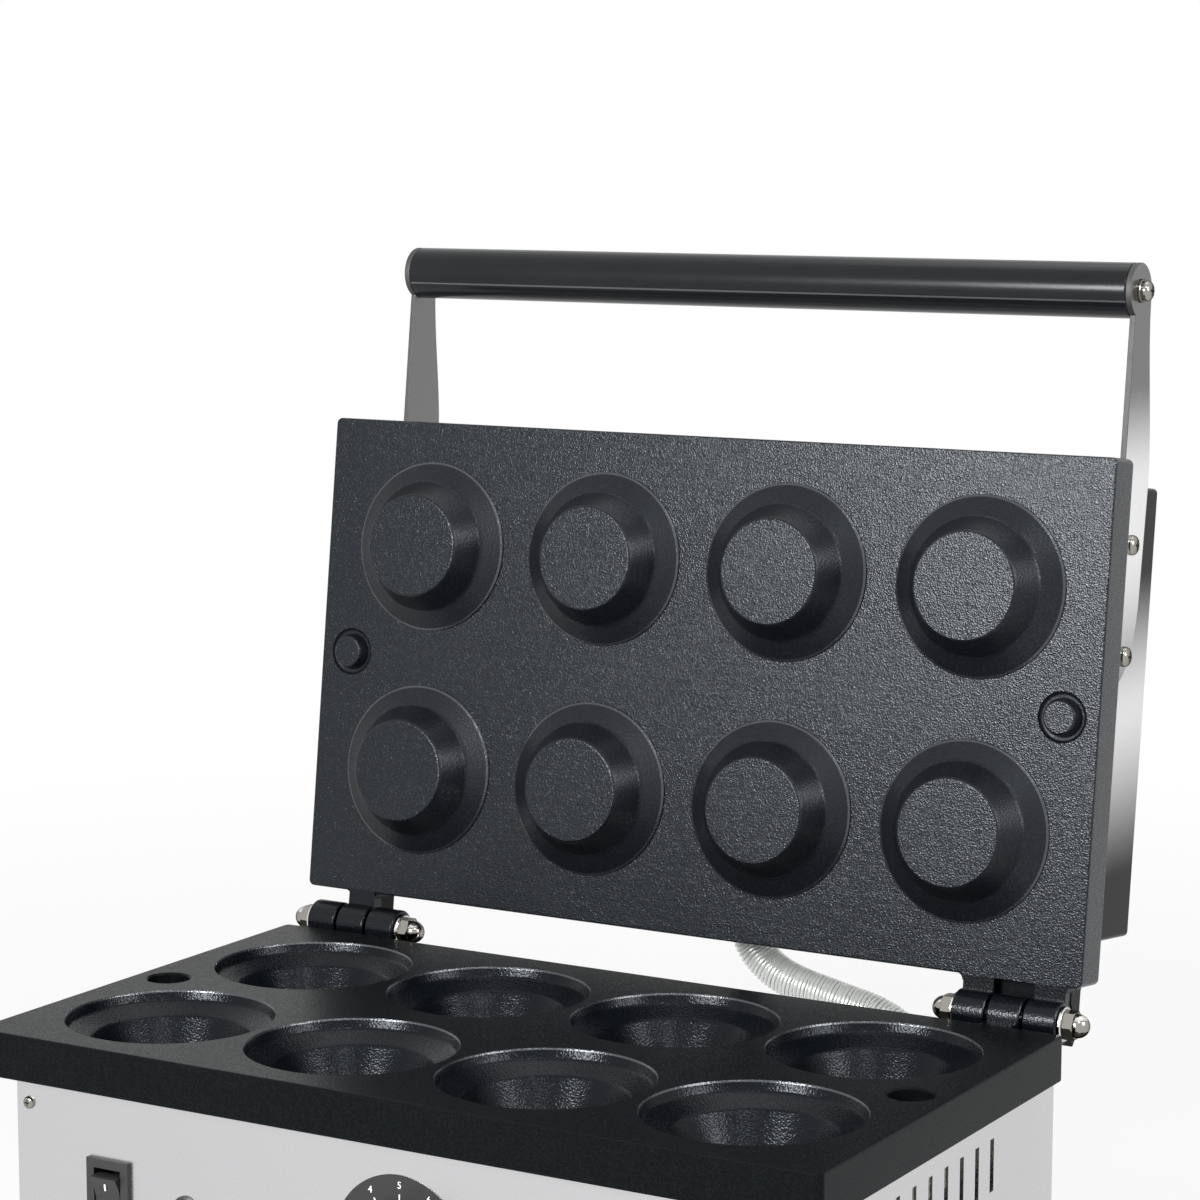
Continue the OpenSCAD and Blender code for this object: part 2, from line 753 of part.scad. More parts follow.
module upper_heat_shield() {
    color(ZINC) lid_frame() translate([0, 0, upper_clamp_z + clamp_t + wool_t]) heat_shield();
}

module upper_clamp_screws() {
    color(ZINC) lid_frame() at_clamps()
        translate([0, 0, upper_clamp_z + clamp_t + wool_t + shield_t]) pan_screw(clamp_screw_r, clamp_screw_l);
}

// ---------------------------------------------------------------- controls
// a control's body behind the panel, with its threaded neck through the panel
module control_body(x, w, h, d) {
    base_frame() translate([x, -cover_front, housing_mid_z]) difference() {
        union() {
            translate([-w / 2, 0.4, -h / 2]) cube([w, d, h]);
            translate([0, 1, 0]) rod_front(5, 1 + panel_t);
        }
        translate([0, 12, 0]) rod_front(shaft_r + seat, 20);
    }
}

module control_shaft(x) {
    color(ZINC) base_frame() translate([x, -cover_front + 10, housing_mid_z])
        rod_front(shaft_r, 10 + panel_t + dial_t + knob_play + 12);
}

module thermostat() {
    color(BLACK) control_body(thermostat_x, thermostat_w, thermostat_h, control_d - 2);
}

module timer() {
    color(BLACK) control_body(timer_x, timer_w, timer_w, control_d - 0.4);
}

// the bulb lies under the web between the rows, and its tube runs to the thermostat
module sensor_bulb() {
    bulb_r = 3;
    bulb_z = -half_gap - web_t - bulb_r;
    bulb_x = mould_pitch_x / 2 - 30;
    low_z = housing_mid_z - 30;
    front_y = -cover_front + 16;
    color(ZINC) base_frame() {
        translate([0, -mould_mid, bulb_z]) rod_x(bulb_r, 60, bulb_x);
        translate([0, -mould_mid, bulb_z]) rod_x(sensor_tube_r, sensor_drop_x - bulb_x, bulb_x);
        translate([sensor_drop_x, -mould_mid, low_z]) cylinder(r = sensor_tube_r, h = bulb_z - low_z);
        translate([0, -mould_mid, low_z]) rod_x(sensor_tube_r, thermostat_x - sensor_drop_x, sensor_drop_x);
        translate([thermostat_x, -mould_mid, low_z]) rod_front(sensor_tube_r, -front_y - mould_mid);
        translate([thermostat_x, front_y, low_z])
            cylinder(r = sensor_tube_r, h = housing_mid_z - thermostat_h / 2 - low_z);
        for (c = [
            [sensor_drop_x, -mould_mid, bulb_z], [sensor_drop_x, -mould_mid, low_z],
            [thermostat_x, -mould_mid, low_z], [thermostat_x, front_y, low_z]
        ]) translate(c) sphere(sensor_tube_r);
    }
}

module dial(x) {
    color("black") base_frame() translate([x, -cover_front - panel_t, housing_mid_z]) difference() {
        rod_front(dial_r, dial_t);
        translate([0, 1, 0]) rod_front(5 + seat, 4);
    }
}

module knob(x) {
    skirt_h = 5;
    grip_r = knob_r - 5;
    scallop_r = 5;
    color(BLACK) base_frame()
        translate([x, -cover_front - panel_t - dial_t - knob_play, housing_mid_z]) rotate([90, 0, 0])
            difference() {
                rotate_extrude() polygon([
                    [0, 0], [knob_r, 0], [knob_r, skirt_h - 1.5], [knob_r - 1.5, skirt_h],
                    [grip_r + 0.8, skirt_h + 0.6], [grip_r, knob_h - 1.2],
                    [grip_r - 1, knob_h], [0, knob_h]
                ]);
                for (a = [18:36:342]) rotate(a) translate([grip_r + scallop_r - 1.6, 0, skirt_h + 2])
                    cylinder(r = scallop_r, h = knob_h);
                translate([-1, grip_r - 9, knob_h - 0.8]) cube([2, 14, 2]);
                translate([0, 0, -1]) cylinder(r = shaft_r + seat, h = 13.2);
            }
}

module switch_body() {
    color(BLACK) base_frame() translate([switch_x, -cover_front - panel_t, housing_mid_z]) difference() {
        union() {
            translate([-rocker_w / 2 - 4.5, -2, -rocker_h / 2 - 4.5]) cube([rocker_w + 9, 2, rocker_h + 9]);
            translate([-rocker_w / 2 - 2.5, -eps, -rocker_h / 2 - 2.5]) cube([rocker_w + 5, 22, rocker_h + 5]);
        }
        translate([-rocker_w / 2 - 0.4, -3, -rocker_h / 2 - 0.4]) cube([rocker_w + 0.8, 15, rocker_h + 0.8]);
        translate([-20, 5, 0]) rod_x(1.2 + seat, 40);
    }
}

module switch_pin() {
    color(ZINC) base_frame() translate([0, -cover_front - panel_t + 5, housing_mid_z])
        rod_x(1.2, rocker_w + 5, switch_x - rocker_w / 2 - 2.5);
}

module switch_rocker() {
    half = rocker_h / 2;
    color(BLACK) base_frame() translate([switch_x, -cover_front - panel_t + 5, housing_mid_z])
        rotate([rocker_tilt, 0, 0]) difference() {
            along_x(-rocker_w / 2, rocker_w) polygon([
                [-6.5, -half + 1.2], [-9, -half + 1.5], [-7.2, -half / 2], [-6.6, 0],
                [-7.2, half / 2], [-9, half - 1.5], [-6.5, half - 1.2], [-1, half - 2.5],
                [3, 3], [3, -3], [-1, -half + 2.5]
            ]);
            rod_x(1.2 + bolt_play, 40, -20);
        }
}

module lamp(x, tint) {
    color(tint) base_frame() translate([x, -cover_front - panel_t, housing_mid_z]) {
        rotate([90, 0, 0]) rotate_extrude() polygon([
            [0, -22], [lamp_r - 1, -22], [lamp_r - 1, 0], [lamp_r + 1, 0], [lamp_r + 1, 1],
            [lamp_r - 0.5, 1.6], [lamp_r - 0.5, 3], [lamp_r - 2, 4.4], [0, 5]
        ]);
    }
}

module terminal_block() {
    color("white") base_frame() translate([terminal_x, -terminal_y, -housing_bottom + pan_t]) difference() {
        translate([-22, -9, 0]) cube([44, 18, 16]);
        for (i = [-1, 0, 1]) translate([i * 13, 0, 9]) cylinder(r = 3, h = 10);
        for (i = [-1, 0, 1]) translate([i * 13, 12, 6]) rod_front(2.5, 24);
        translate([0, 0, -1]) cylinder(r = terminal_screw_r + seat, h = 8);
    }
}

module terminal_screw() {
    color(ZINC) base_frame() translate([terminal_x, -terminal_y, -housing_bottom])
        mirror([0, 0, 1]) pan_screw(terminal_screw_r, 8);
}

module earth_stud() {
    color("gold") base_frame() translate([earth_x, -terminal_y, -housing_bottom]) {
        translate([0, 0, -3]) hexagon(8, 3);
        cylinder(r = earth_r, h = 16);
        translate([0, 0, pan_t]) hexagon(8, 4);
    }
}

module cable_gland() {
    color(BLACK) base_frame() translate([gland_x, housing_behind, gland_z]) rotate([-90, 0, 0]) difference() {
        union() {
            translate([0, 0, -10]) cylinder(r = gland_r, h = 11);
            hexagon(gland_nut_af, 6);
            translate([0, 0, 6]) cylinder(r1 = 10, r2 = 7.5, h = 14);
        }
        translate([0, 0, -11]) cylinder(r = gland_bore_r, h = 40);
    }
}

module gland_nut() {
    color(BLACK) base_frame() translate([gland_x, housing_behind - sheet_t, gland_z]) rotate([90, 0, 0])
        difference() {
            hexagon(gland_nut_af, 5);
            translate([0, 0, -1]) cylinder(r = gland_r + seat, h = 8);
        }
}

// ---------------------------------------------------------------- conduit
module collar(l) {
    difference() {
        union() {
            translate([0, 0, -4]) cylinder(r = collar_r, h = l + 4);
            cylinder(r = collar_flange_r, h = 2.5);
        }
        translate([0, 0, -5]) cylinder(r = conduit_r - 2, h = l + 6);
    }
}

module base_conduit_collar() {
    color(ZINC) base_frame() translate([collar_x, housing_behind, collar_z])
        rotate([-90, 0, 0]) collar(collar_l);
}

module lid_conduit_collar() {
    color(ZINC) lid_frame() translate([lid_collar_x, -cover_back, lid_collar_up])
        rotate([-90, 0, 0]) collar(lid_collar_l);
}

// point t of the smooth curve through four stations
function spline(a, b, c, d, t) =
    (2 * b + (c - a) * t + (2 * a - 5 * b + 4 * c - d) * t * t + (3 * b - a - 3 * c + d) * t * t * t) / 2;

function unit(v) = v / norm(v);

module tube(points, r, sides) {
    n = len(points);
    along = [for (i = [0:n - 1]) unit(points[min(i + 1, n - 1)] - points[max(i - 1, 0)])];
    rings = [for (i = [0:n - 1])
        let (side = unit(cross(along[i], [0.31, 0.2, 1])), up = cross(side, along[i]))
        for (k = [0:sides - 1]) points[i] + r * (cos(k * 360 / sides) * side + sin(k * 360 / sides) * up)];
    walls = [for (i = [0:n - 2], k = [0:sides - 1])
        [i * sides + k, i * sides + (k + 1) % sides, (i + 1) * sides + (k + 1) % sides, (i + 1) * sides + k]];
    polyhedron(rings, concat(walls, [[for (k = [sides - 1:-1:0]) k]],
        [[for (k = [0:sides - 1]) (n - 1) * sides + k]]), convexity = 6);
}

// a point l out of the lid's collar with the lid open, from the hinge axis
function lid_mouth(l) = let (y = -cover_back + lid_collar_l + l) [
    lid_collar_x,
    y * cos(open_angle) + lid_collar_up * sin(open_angle),
    -y * sin(open_angle) + lid_collar_up * cos(open_angle)
];

function base_mouth(l) = [collar_x, housing_behind + collar_l + l, collar_z];

module conduit() {
    stations = concat([base_mouth(conduit_lead)], conduit_route, [lid_mouth(conduit_lead)]);
    last = len(stations) - 1;
    curve = [for (i = [0:last - 1], t = [0, 0.5])
        spline(stations[max(i - 1, 0)], stations[i], stations[i + 1], stations[min(i + 2, last)], t)];
    color(ZINC) base_frame()
        tube(concat([base_mouth(0)], curve, [stations[last], lid_mouth(0)]), conduit_r, 12);
}

// ---------------------------------------------------------------- lid
module lid_cover() {
    d = cover_front - cover_back;
    h = cover_top - plate_under;
    color(STEEL) lid_frame() difference() {
        translate([0, -(cover_front + cover_back) / 2, plate_under]) rounded_slab(cover_w, d, h, 2.5);
        translate([0, -(cover_front + cover_back) / 2, plate_under - 1])
            rounded_slab(cover_w - 2 * sheet_t, d - 2 * sheet_t, h + 1 - sheet_t, 1.5);
        at_corners(plate_bolt_x, plate_bolt_y) translate([0, 0, cover_top - 5])
            cylinder(r = plate_bolt_r + seat, h = 10);
        at_arm_screws() rod_x(handle_screw_r + seat, 20, -10);
        translate([lid_collar_x, -cover_back + 5, lid_collar_up]) rod_front(collar_r + seat, 10);
    }
}

module cover_standoffs() {
    h = cover_top - sheet_t - plate_under;
    color(ZINC) lid_frame() at_corners(plate_bolt_x, plate_bolt_y) translate([0, 0, plate_under]) {
        difference() {
            hexagon(10, h);
            translate([0, 0, h - 14]) cylinder(r = plate_bolt_r + seat, h = 15);
        }
        translate([0, 0, -11]) cylinder(r = plate_bolt_r, h = 11 + eps);
    }
}

module cover_screws() {
    color(NICKEL) lid_frame() at_corners(plate_bolt_x, plate_bolt_y)
        translate([0, 0, cover_top]) pan_screw(plate_bolt_r, 12);
}

// ---------------------------------------------------------------- handle
arm_front_up = 42.7;    // the arm's edge that faces the plates
arm_on_cover = 94.5;    // from the cover's front wall back to the arm's heel
arm_heel = cover_front - arm_on_cover;
arm_shoulder_l = 46;
arm_shoulder_h = 28.3;
arm_crown_ahead = 1;    // from the cover's front wall to where the arm is broadest
arm_crown = cover_front + arm_crown_ahead;
arm_crown_up = 73;
arm_screw_setback = 15; // from the heel forward to the first screw
arm_screw_pitch = 52;
arm_screw_y = [arm_heel + arm_screw_setback, arm_heel + arm_screw_setback + arm_screw_pitch];
arm_screw_up = 57;
arm_head_dip = asin((bar_up - arm_front_up) / bar_r);

module at_arm_screws() {
    for (s = [-1, 1], y = arm_screw_y) translate([s * cover_w / 2, -y, arm_screw_up]) children();
}

function ease(t) = t * t * (3 - 2 * t);

// the arm's side view: forward along -Y and up along +Z
module arm_outline() {
    head = [for (p = arc(bar_r, -arm_head_dip, -268, 30)) [-bar_forward, bar_up] + p];
    neck = [for (t = [0.15:0.12:0.99]) [
        -bar_forward + t * (bar_forward - arm_crown),
        bar_up + bar_r + ease(t) * (arm_crown_up - bar_up - bar_r)
    ]];
    shoulder = [for (a = [90:-10:0]) [
        -arm_heel - arm_shoulder_l * (1 - cos(a)),
        arm_front_up + arm_shoulder_h * sin(a)
    ]];
    polygon(concat(head, neck, [[-arm_crown, arm_crown_up]], shoulder));
}

module arm(side) {
    x0 = side > 0 ? cover_w / 2 : -cover_w / 2 - arm_t;
    color(STEEL) lid_frame() difference() {
        along_x(x0, arm_t) arm_outline();
        translate([0, -bar_forward, bar_up]) rod_x(handle_screw_r + seat, 20, x0 - 8);
        at_arm_screws() rod_x(handle_screw_r + seat, 20, -10);
    }
}

module arm_screws() {
    color(NICKEL) lid_frame() for (s = [-1, 1], y = arm_screw_y)
        translate([s * (cover_w / 2 + arm_t), -y, arm_screw_up]) rotate([0, s * 90, 0])
            pan_screw(handle_screw_r, 12);
}

module arm_nuts() {
    color(ZINC) lid_frame() for (s = [-1, 1], y = arm_screw_y)
        translate([s * (cover_w / 2 - sheet_t), -y, arm_screw_up]) rotate([0, -s * 90, 0]) difference() {
            hexagon(8, 4);
            translate([0, 0, -1]) cylinder(r = handle_screw_r + seat, h = 8);
        }
}

module handle_bar() {
    color(BLACK) lid_frame() translate([0, -bar_forward, bar_up]) difference() {
        rod_x(bar_r, cover_w, -cover_w / 2);
        rod_x(bar_r - bar_wall, cover_w + 2, -cover_w / 2 - 1);
    }
}

module bar_plugs() {
    color(BLACK) lid_frame() for (s = [-1, 1]) translate([s * cover_w / 2, -bar_forward, bar_up])
        rotate([0, -s * 90, 0]) difference() {
            cylinder(r = bar_r - bar_wall - seat, h = 22);
            translate([0, 0, -1]) cylinder(r = handle_screw_r + seat, h = 30);
        }
}

handle_washer_t = 1.2;

module handle_washers() {
    color(NICKEL) lid_frame() for (s = [-1, 1]) translate([s * (cover_w / 2 + arm_t), -bar_forward, bar_up])
        rotate([0, s * 90, 0]) difference() {
            union() {
                cylinder(r = handle_screw_r * 2.2, h = handle_washer_t);
                translate([0, 0, handle_washer_t]) cylinder(r = handle_screw_r * 1.75, h = handle_washer_t);
            }
            translate([0, 0, -1]) cylinder(r = handle_screw_r + seat, h = 6);
        }
}

module handle_screws() {
    color(NICKEL) lid_frame() for (s = [-1, 1])
        translate([s * (cover_w / 2 + arm_t + 2 * handle_washer_t), -bar_forward, bar_up])
            rotate([0, s * 90, 0]) pan_screw(handle_screw_r, 20);
}

lower_plate();
upper_plate();
base_housing();
front_panel();
floor_pan();
rubber_feet();
foot_screws();
panel_screws();
pan_screws();
lower_plate_bolts();
lower_element();
lower_clamp_bars();
lower_wool_pad();
lower_heat_shield();
lower_clamp_screws();
thermostat();
sensor_bulb();
timer();
dial(thermostat_x);  // thermostat_dial
dial(timer_x);  // timer_dial
knob(thermostat_x);  // thermostat_knob
knob(timer_x);  // timer_knob
control_shaft(thermostat_x);  // thermostat_shaft
control_shaft(timer_x);  // timer_shaft
switch_body();
switch_rocker();
switch_pin();
lamp(lamp_x[0], "red");  // power_lamp
lamp(lamp_x[1], "green");  // heating_lamp
terminal_block();
terminal_screw();
earth_stud();
cable_gland();
gland_nut();
base_conduit_collar();
lid_conduit_collar();
conduit();
hinge_bolt(-1);  // left_hinge_bolt
hinge_bolt(1);  // right_hinge_bolt
hinge_washers();
acorn_nuts();
lid_cover();
cover_standoffs();
cover_screws();
upper_element();
upper_clamp_bars();
upper_wool_pad();
upper_heat_shield();
upper_clamp_screws();
arm(-1);  // left_arm
arm(1);  // right_arm
arm_screws();
arm_nuts();
handle_bar();
bar_plugs();
handle_screws();
handle_washers();
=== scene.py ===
"""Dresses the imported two-plate baking press: eased castings, finishes, light and camera."""

import json
import logging
import math
from collections.abc import Callable, Iterable, Sequence
from dataclasses import dataclass, field
from enum import Enum
from itertools import pairwise

import bmesh
import bpy
from mathutils import Matrix, Vector


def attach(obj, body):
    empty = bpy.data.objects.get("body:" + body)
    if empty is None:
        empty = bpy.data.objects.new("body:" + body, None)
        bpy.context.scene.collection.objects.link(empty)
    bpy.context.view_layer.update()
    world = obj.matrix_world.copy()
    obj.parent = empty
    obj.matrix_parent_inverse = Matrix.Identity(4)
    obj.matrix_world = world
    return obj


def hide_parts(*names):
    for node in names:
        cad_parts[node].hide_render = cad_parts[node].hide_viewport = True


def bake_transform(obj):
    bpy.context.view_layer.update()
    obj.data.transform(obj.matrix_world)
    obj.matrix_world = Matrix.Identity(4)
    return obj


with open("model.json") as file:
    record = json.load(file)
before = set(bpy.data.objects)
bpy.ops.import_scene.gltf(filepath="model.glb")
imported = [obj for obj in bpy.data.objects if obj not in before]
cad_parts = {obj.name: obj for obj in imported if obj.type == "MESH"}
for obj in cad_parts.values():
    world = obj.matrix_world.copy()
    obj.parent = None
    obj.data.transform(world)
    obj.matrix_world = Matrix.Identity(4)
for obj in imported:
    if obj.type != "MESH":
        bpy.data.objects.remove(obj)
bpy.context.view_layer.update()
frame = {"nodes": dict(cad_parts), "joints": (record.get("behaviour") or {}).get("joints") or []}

log = logging.getLogger("press")

MM = 0.001
SIDES = (-1, 1)
Point = tuple[float, float]
Place = tuple[float, float, float]
Profile = Sequence[Point]
Colour = tuple[float, float, float]
Piece = bpy.types.Object
Face = bpy.types.MeshPolygon


def lid_joint() -> dict:
    """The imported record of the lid's hinge."""
    return next(j for j in frame["joints"] if j["name"] == "lid_hinge")


HINGE = Vector(lid_joint()["pos_m"])
OPEN_ANGLE = math.radians(lid_joint()["range_deg"][1])
BASE_PLACE = Matrix.Translation(HINGE)
LID_PLACE = BASE_PLACE @ Matrix.Rotation(-OPEN_ANGLE, 4, "X")


class Body(Enum):
    """The bodies that the press is made of."""

    BASE = "base"
    LID = "lid"
    THERMOSTAT = "thermostat_control"
    TIMER = "timer_control"
    ROCKER = "rocker"


# ---------------------------------------------------------------- shader maths
class Val:
    """A shader socket that Python's operators extend with Math nodes."""

    def __init__(self, graph: "Graph", socket: bpy.types.NodeSocket) -> None:
        """Wraps a socket of a graph.

        Args:
            graph: The graph that holds the socket's node.
            socket: An output socket that carries one number.
        """
        self.graph = graph
        self.socket = socket

    def _maths(self, operation: str, first: "Val | float", second: "Val | float") -> "Val":
        """Adds a Math node.

        Args:
            operation: The Math node's operation.
            first: The node's first value.
            second: The node's second value.

        Returns:
            The node's result.
        """
        return self.graph.node("ShaderNodeMath", {"operation": operation}, [first, second])

    def __add__(self, other: "Val | float") -> "Val":
        """Sum."""
        return self._maths("ADD", self, other)

    __radd__ = __add__

    def __sub__(self, other: "Val | float") -> "Val":
        """Difference."""
        return self._maths("SUBTRACT", self, other)

    def __rsub__(self, other: float) -> "Val":
        """Difference from a number."""
        return self._maths("SUBTRACT", other, self)

    def __mul__(self, other: "Val | float") -> "Val":
        """Product."""
        return self._maths("MULTIPLY", self, other)

    __rmul__ = __mul__

    def clamped(self, low: float, high: float) -> "Val":
        """The value mapped from low..high to 0..1, smoothly and without leaving that range."""
        settings = {"interpolation_type": "SMOOTHSTEP"}
        return self.graph.node("ShaderNodeMapRange", settings, [self, low, high, 0.0, 1.0])


class Graph:
    """The node graph of a material or world."""

    def __init__(self, owner: bpy.types.ID) -> None:
        """Opens the owner's nodes.

        Args:
            owner: A new material or world.
        """
        owner.use_nodes = True
        self.owner = owner
        self.tree = owner.node_tree
        self.output = next(n for n in self.tree.nodes if n.type.startswith("OUTPUT"))
        self.shader = self.output.inputs["Surface"].links[0].from_node

    def node(
        self,
        kind: str,
        settings: dict | None = None,
        inputs: Sequence | dict = (),
        output: int | str = 0,
    ) -> Val:
        """Adds a node.

        Args:
            kind: The node's type.
            settings: Attributes that are set before the sockets.
            inputs: Values or links for the sockets, in order or by name.
            output: The output to return, by place or name.

        Returns:
            That output.
        """
        made = self.tree.nodes.new(kind)
        for key, value in (settings or {}).items():
            setattr(made, key, value)
        pairs = inputs.items() if isinstance(inputs, dict) else enumerate(inputs)
        for key, value in pairs:
            self.feed(made.inputs[key], value)
        return Val(self, made.outputs[output])

    def feed(self, socket: bpy.types.NodeSocket, value: object) -> None:
        """Links or sets a socket.

        Args:
            socket: The input socket.
            value: A Val to link, or a constant.
        """
        if isinstance(value, Val):
            self.tree.links.new(value.socket, socket)
        else:
            socket.default_value = value

    def set(self, **values: object) -> None:
        """Sets sockets of the Principled shader; underscores stand for spaces."""
        for key, value in values.items():
            self.feed(self.shader.inputs[key.replace("_", " ")], value)

    def place(self, scale: Sequence[float] = (1, 1, 1)) -> Val:
        """Object coordinates, in metres, scaled."""
        coordinates = self.node("ShaderNodeTexCoord", output="Object")
        return self.node("ShaderNodeMapping", inputs={0: coordinates, 3: scale})

    def height(self) -> Val:
        """Height above the table with the lid open, in metres."""
        return self.node("ShaderNodeSeparateXYZ", inputs=[self.place()], output="Z")

    def noise(self, place: Val, scale: float, detail: float = 2.0, rough: float = 0.5) -> Val:
        """Fractal noise from 0 to 1, with features of about 1 / scale metres."""
        inputs = {"Vector": place, "Scale": scale, "Detail": detail, "Roughness": rough}
        return self.node("ShaderNodeTexNoise", inputs=inputs)

    def blend(self, share: Val | float, first: Sequence[float], second: Sequence[float]) -> Val:
        """Two colours mixed by share.

        Args:
            share: How much of the second colour shows.
            first: The first colour.
            second: The second colour.

        Returns:
            The mixed colour.
        """
        settings = {"data_type": "RGBA"}
        inputs = {0: share, 6: (*first, 1.0), 7: (*second, 1.0)}
        return self.node("ShaderNodeMix", settings, inputs, output=2)

    def bump(self, height: Val, strength: float, depth: float) -> None:
        """Feeds Normal with a Bump node of the given strength and depth in metres."""
        inputs = {"Strength": strength, "Distance": depth, "Height": height}
        self.set(Normal=self.node("ShaderNodeBump", inputs=inputs))


@dataclass(frozen=True)
class Finish:
    """A surface finish that makes its own material."""

    name: str
    colour: Colour

    def material(self) -> bpy.types.Material:
        """Builds the finish's material, once.

        Returns:
            The material.
        """
        found = bpy.data.materials.get(self.name)
        if found:
            return found
        graph = Graph(bpy.data.materials.new(self.name))
        self.build(graph)
        return graph.owner

    def shade(self, share: float) -> Colour:
        """The finish's colour times share."""
        return tuple(c * share for c in self.colour)

    def build(self, graph: Graph) -> None:
        """Fills the graph; each kind of finish has its own way."""
        raise NotImplementedError


@dataclass(frozen=True)
class NonstickCoat(Finish):
    """Charcoal nonstick coat over a cast face, with a pebbled grain."""

    grain: float = 1.0
    roughness: float = 0.28
    pebble: float = 1500.0
    shine: float = 0.33
    lift: float = 5.0
    depth: float = 0.000175

    def build(self, graph: Graph) -> None:
        """Speckled charcoal with a pebbled bump.

        Args:
            graph: The new material's graph.
        """
        place = graph.place()
        pebbles = graph.noise(place, self.pebble, 0.0)
        cloud = graph.noise(place, 14.0, 2.0)
        speck = pebbles.clamped(0.42, 0.66) * 0.8 + cloud * 0.15
        graph.set(Base_Color=graph.blend(speck, self.colour, self.shade(self.lift)))
        graph.set(Roughness=cloud * 0.05 - pebbles * 0.24 + (self.roughness + 0.09))
        graph.bump(pebbles, self.grain, self.depth)
        graph.set(Specular_IOR_Level=self.shine, Specular_Tint=(0.90, 0.95, 1.0, 1.0))


@dataclass(frozen=True)
class BrushedSteel(Finish):
    """Satin stainless with long brush lines along one axis."""

    roughness: float = 0.28
    along: str = "X"
    grain: float = 0.12
    # below 1: factor of painted shade on the colour outside the painted reflection's heights
    painted_shade: float = 1.0
    rise: tuple[float, float] = (0.0, 0.0)
    fall: tuple[float, float] = (0.0, 0.0)

    def build(self, graph: Graph) -> None:
        """Brush lines as stretched noise in roughness and bump.

        Where the dimming factor is below 1, it darkens the colour as painted shade, except over a strip
        of heights that is a painted reflection: brighter over rise and darker again over fall, in metres.

        Args:
            graph: The new material's graph.
        """
        stretch = [900.0 if axis != self.along else 9.0 for axis in "XYZ"]
        lines = graph.noise(graph.place(stretch), 1.0, 3.0, 0.6)
        smudge = graph.noise(graph.place(), 22.0, 2.0)
        streak = lines * 0.5 + smudge * 0.3
        if self.painted_shade < 1.0:
            # painted reflection across a strip of heights, painted shade above and below it
            height = graph.height()
            painted_reflection = height.clamped(*self.rise) - height.clamped(*self.fall)
            graph.set(Base_Color=graph.blend(painted_reflection - streak * 0.12, self.shade(self.painted_shade), self.colour))
            graph.set(Specular_Tint=(0.7, 0.7, 0.7, 1.0))
        else:
            graph.set(Base_Color=graph.blend(streak, self.colour, self.shade(0.86)))
        graph.set(Roughness=lines * 0.14 + smudge * 0.06 + (self.roughness - 0.1))
        graph.bump(lines, self.grain, 0.00004)
        graph.set(Metallic=1.0)


@dataclass(frozen=True)
class PlatedMetal(Finish):
    """Bright or dull plating with faint handling marks."""

    roughness: float = 0.16
    mottle: float = 0.12
    rim: float = 1.0
    metal: float = 1.0

    def build(self, graph: Graph) -> None:
        """Mottled plating that darkens to rim where it turns away.

        Args:
            graph: The new material's graph.
        """
        cloud = graph.noise(graph.place(), 260.0, 3.0)
        graph.set(Base_Color=graph.blend(cloud * 0.6, self.colour, self.shade(0.78)))
        graph.set(Roughness=cloud * self.mottle + (self.roughness - self.mottle / 2))
        graph.bump(cloud, 0.05, 0.0001)
        graph.set(Metallic=self.metal, Specular_Tint=(self.rim, self.rim, self.rim, 1.0))


@dataclass(frozen=True)
class MouldedPlastic(Finish):
    """Moulded plastic, from gloss to a fine spark texture."""

    roughness: float = 0.35
    texture: float = 0.1
    shine: float = 0.5

    def build(self, graph: Graph) -> None:
        """A faint spark texture.

        Args:
            graph: The new material's graph.
        """
        place = graph.place()
        spark = graph.noise(place, 1500.0, 1.0)
        cloud = graph.noise(place, 30.0, 2.0)
        lifted = tuple(min(1.0, c * 1.25 + 0.002) for c in self.colour)
        graph.set(Base_Color=graph.blend(cloud, self.colour, lifted))
        graph.set(Roughness=cloud * 0.05 + spark * 0.04 + (self.roughness - 0.045))
        graph.bump(spark, self.texture, 0.0001)
        graph.set(Specular_IOR_Level=self.shine)


@dataclass(frozen=True)
class Rubber(Finish):
    """Matte black rubber with dusty patches."""

    def build(self, graph: Graph) -> None:
        """Dust on a matte ground.

        Args:
            graph: The new material's graph.
        """
        place = graph.place()
        dust = graph.noise(place, 60.0, 4.0).clamped(0.45, 0.75)
        dusty = tuple(c + 0.03 for c in self.colour)
        graph.set(Base_Color=graph.blend(dust, self.colour, dusty))
        graph.set(Roughness=dust * 0.15 + 0.7)
        graph.bump(graph.noise(place, 900.0, 2.0), 0.2, 0.0002)


@dataclass(frozen=True)
class MineralWool(Finish):
    """Felted mineral wool."""

    def build(self, graph: Graph) -> None:
        """Matted fibres as warped, stretched noise.

        Args:
            graph: The new material's graph.
        """
        place = graph.place((300.0, 1200.0, 300.0))
        fibres = graph.noise(place, 1.0, 5.0, 0.7)
        graph.set(Base_Color=graph.blend(fibres, self.shade(0.7), self.colour), Roughness=0.95)
        graph.bump(fibres, 0.7, 0.0012)


@dataclass(frozen=True)
class LampLens(Finish):
    """A clear coloured lens over a small lamp."""

    def build(self, graph: Graph) -> None:
        """Deep colour under a clear coat.

        Args:
            graph: The new material's graph.
        """
        facets = graph.noise(graph.place(), 700.0, 1.0)
        graph.set(Base_Color=graph.blend(facets, self.shade(0.5), self.colour))
        graph.set(Roughness=facets * 0.1 + 0.1, Coat_Weight=1.0, Coat_Roughness=0.03)


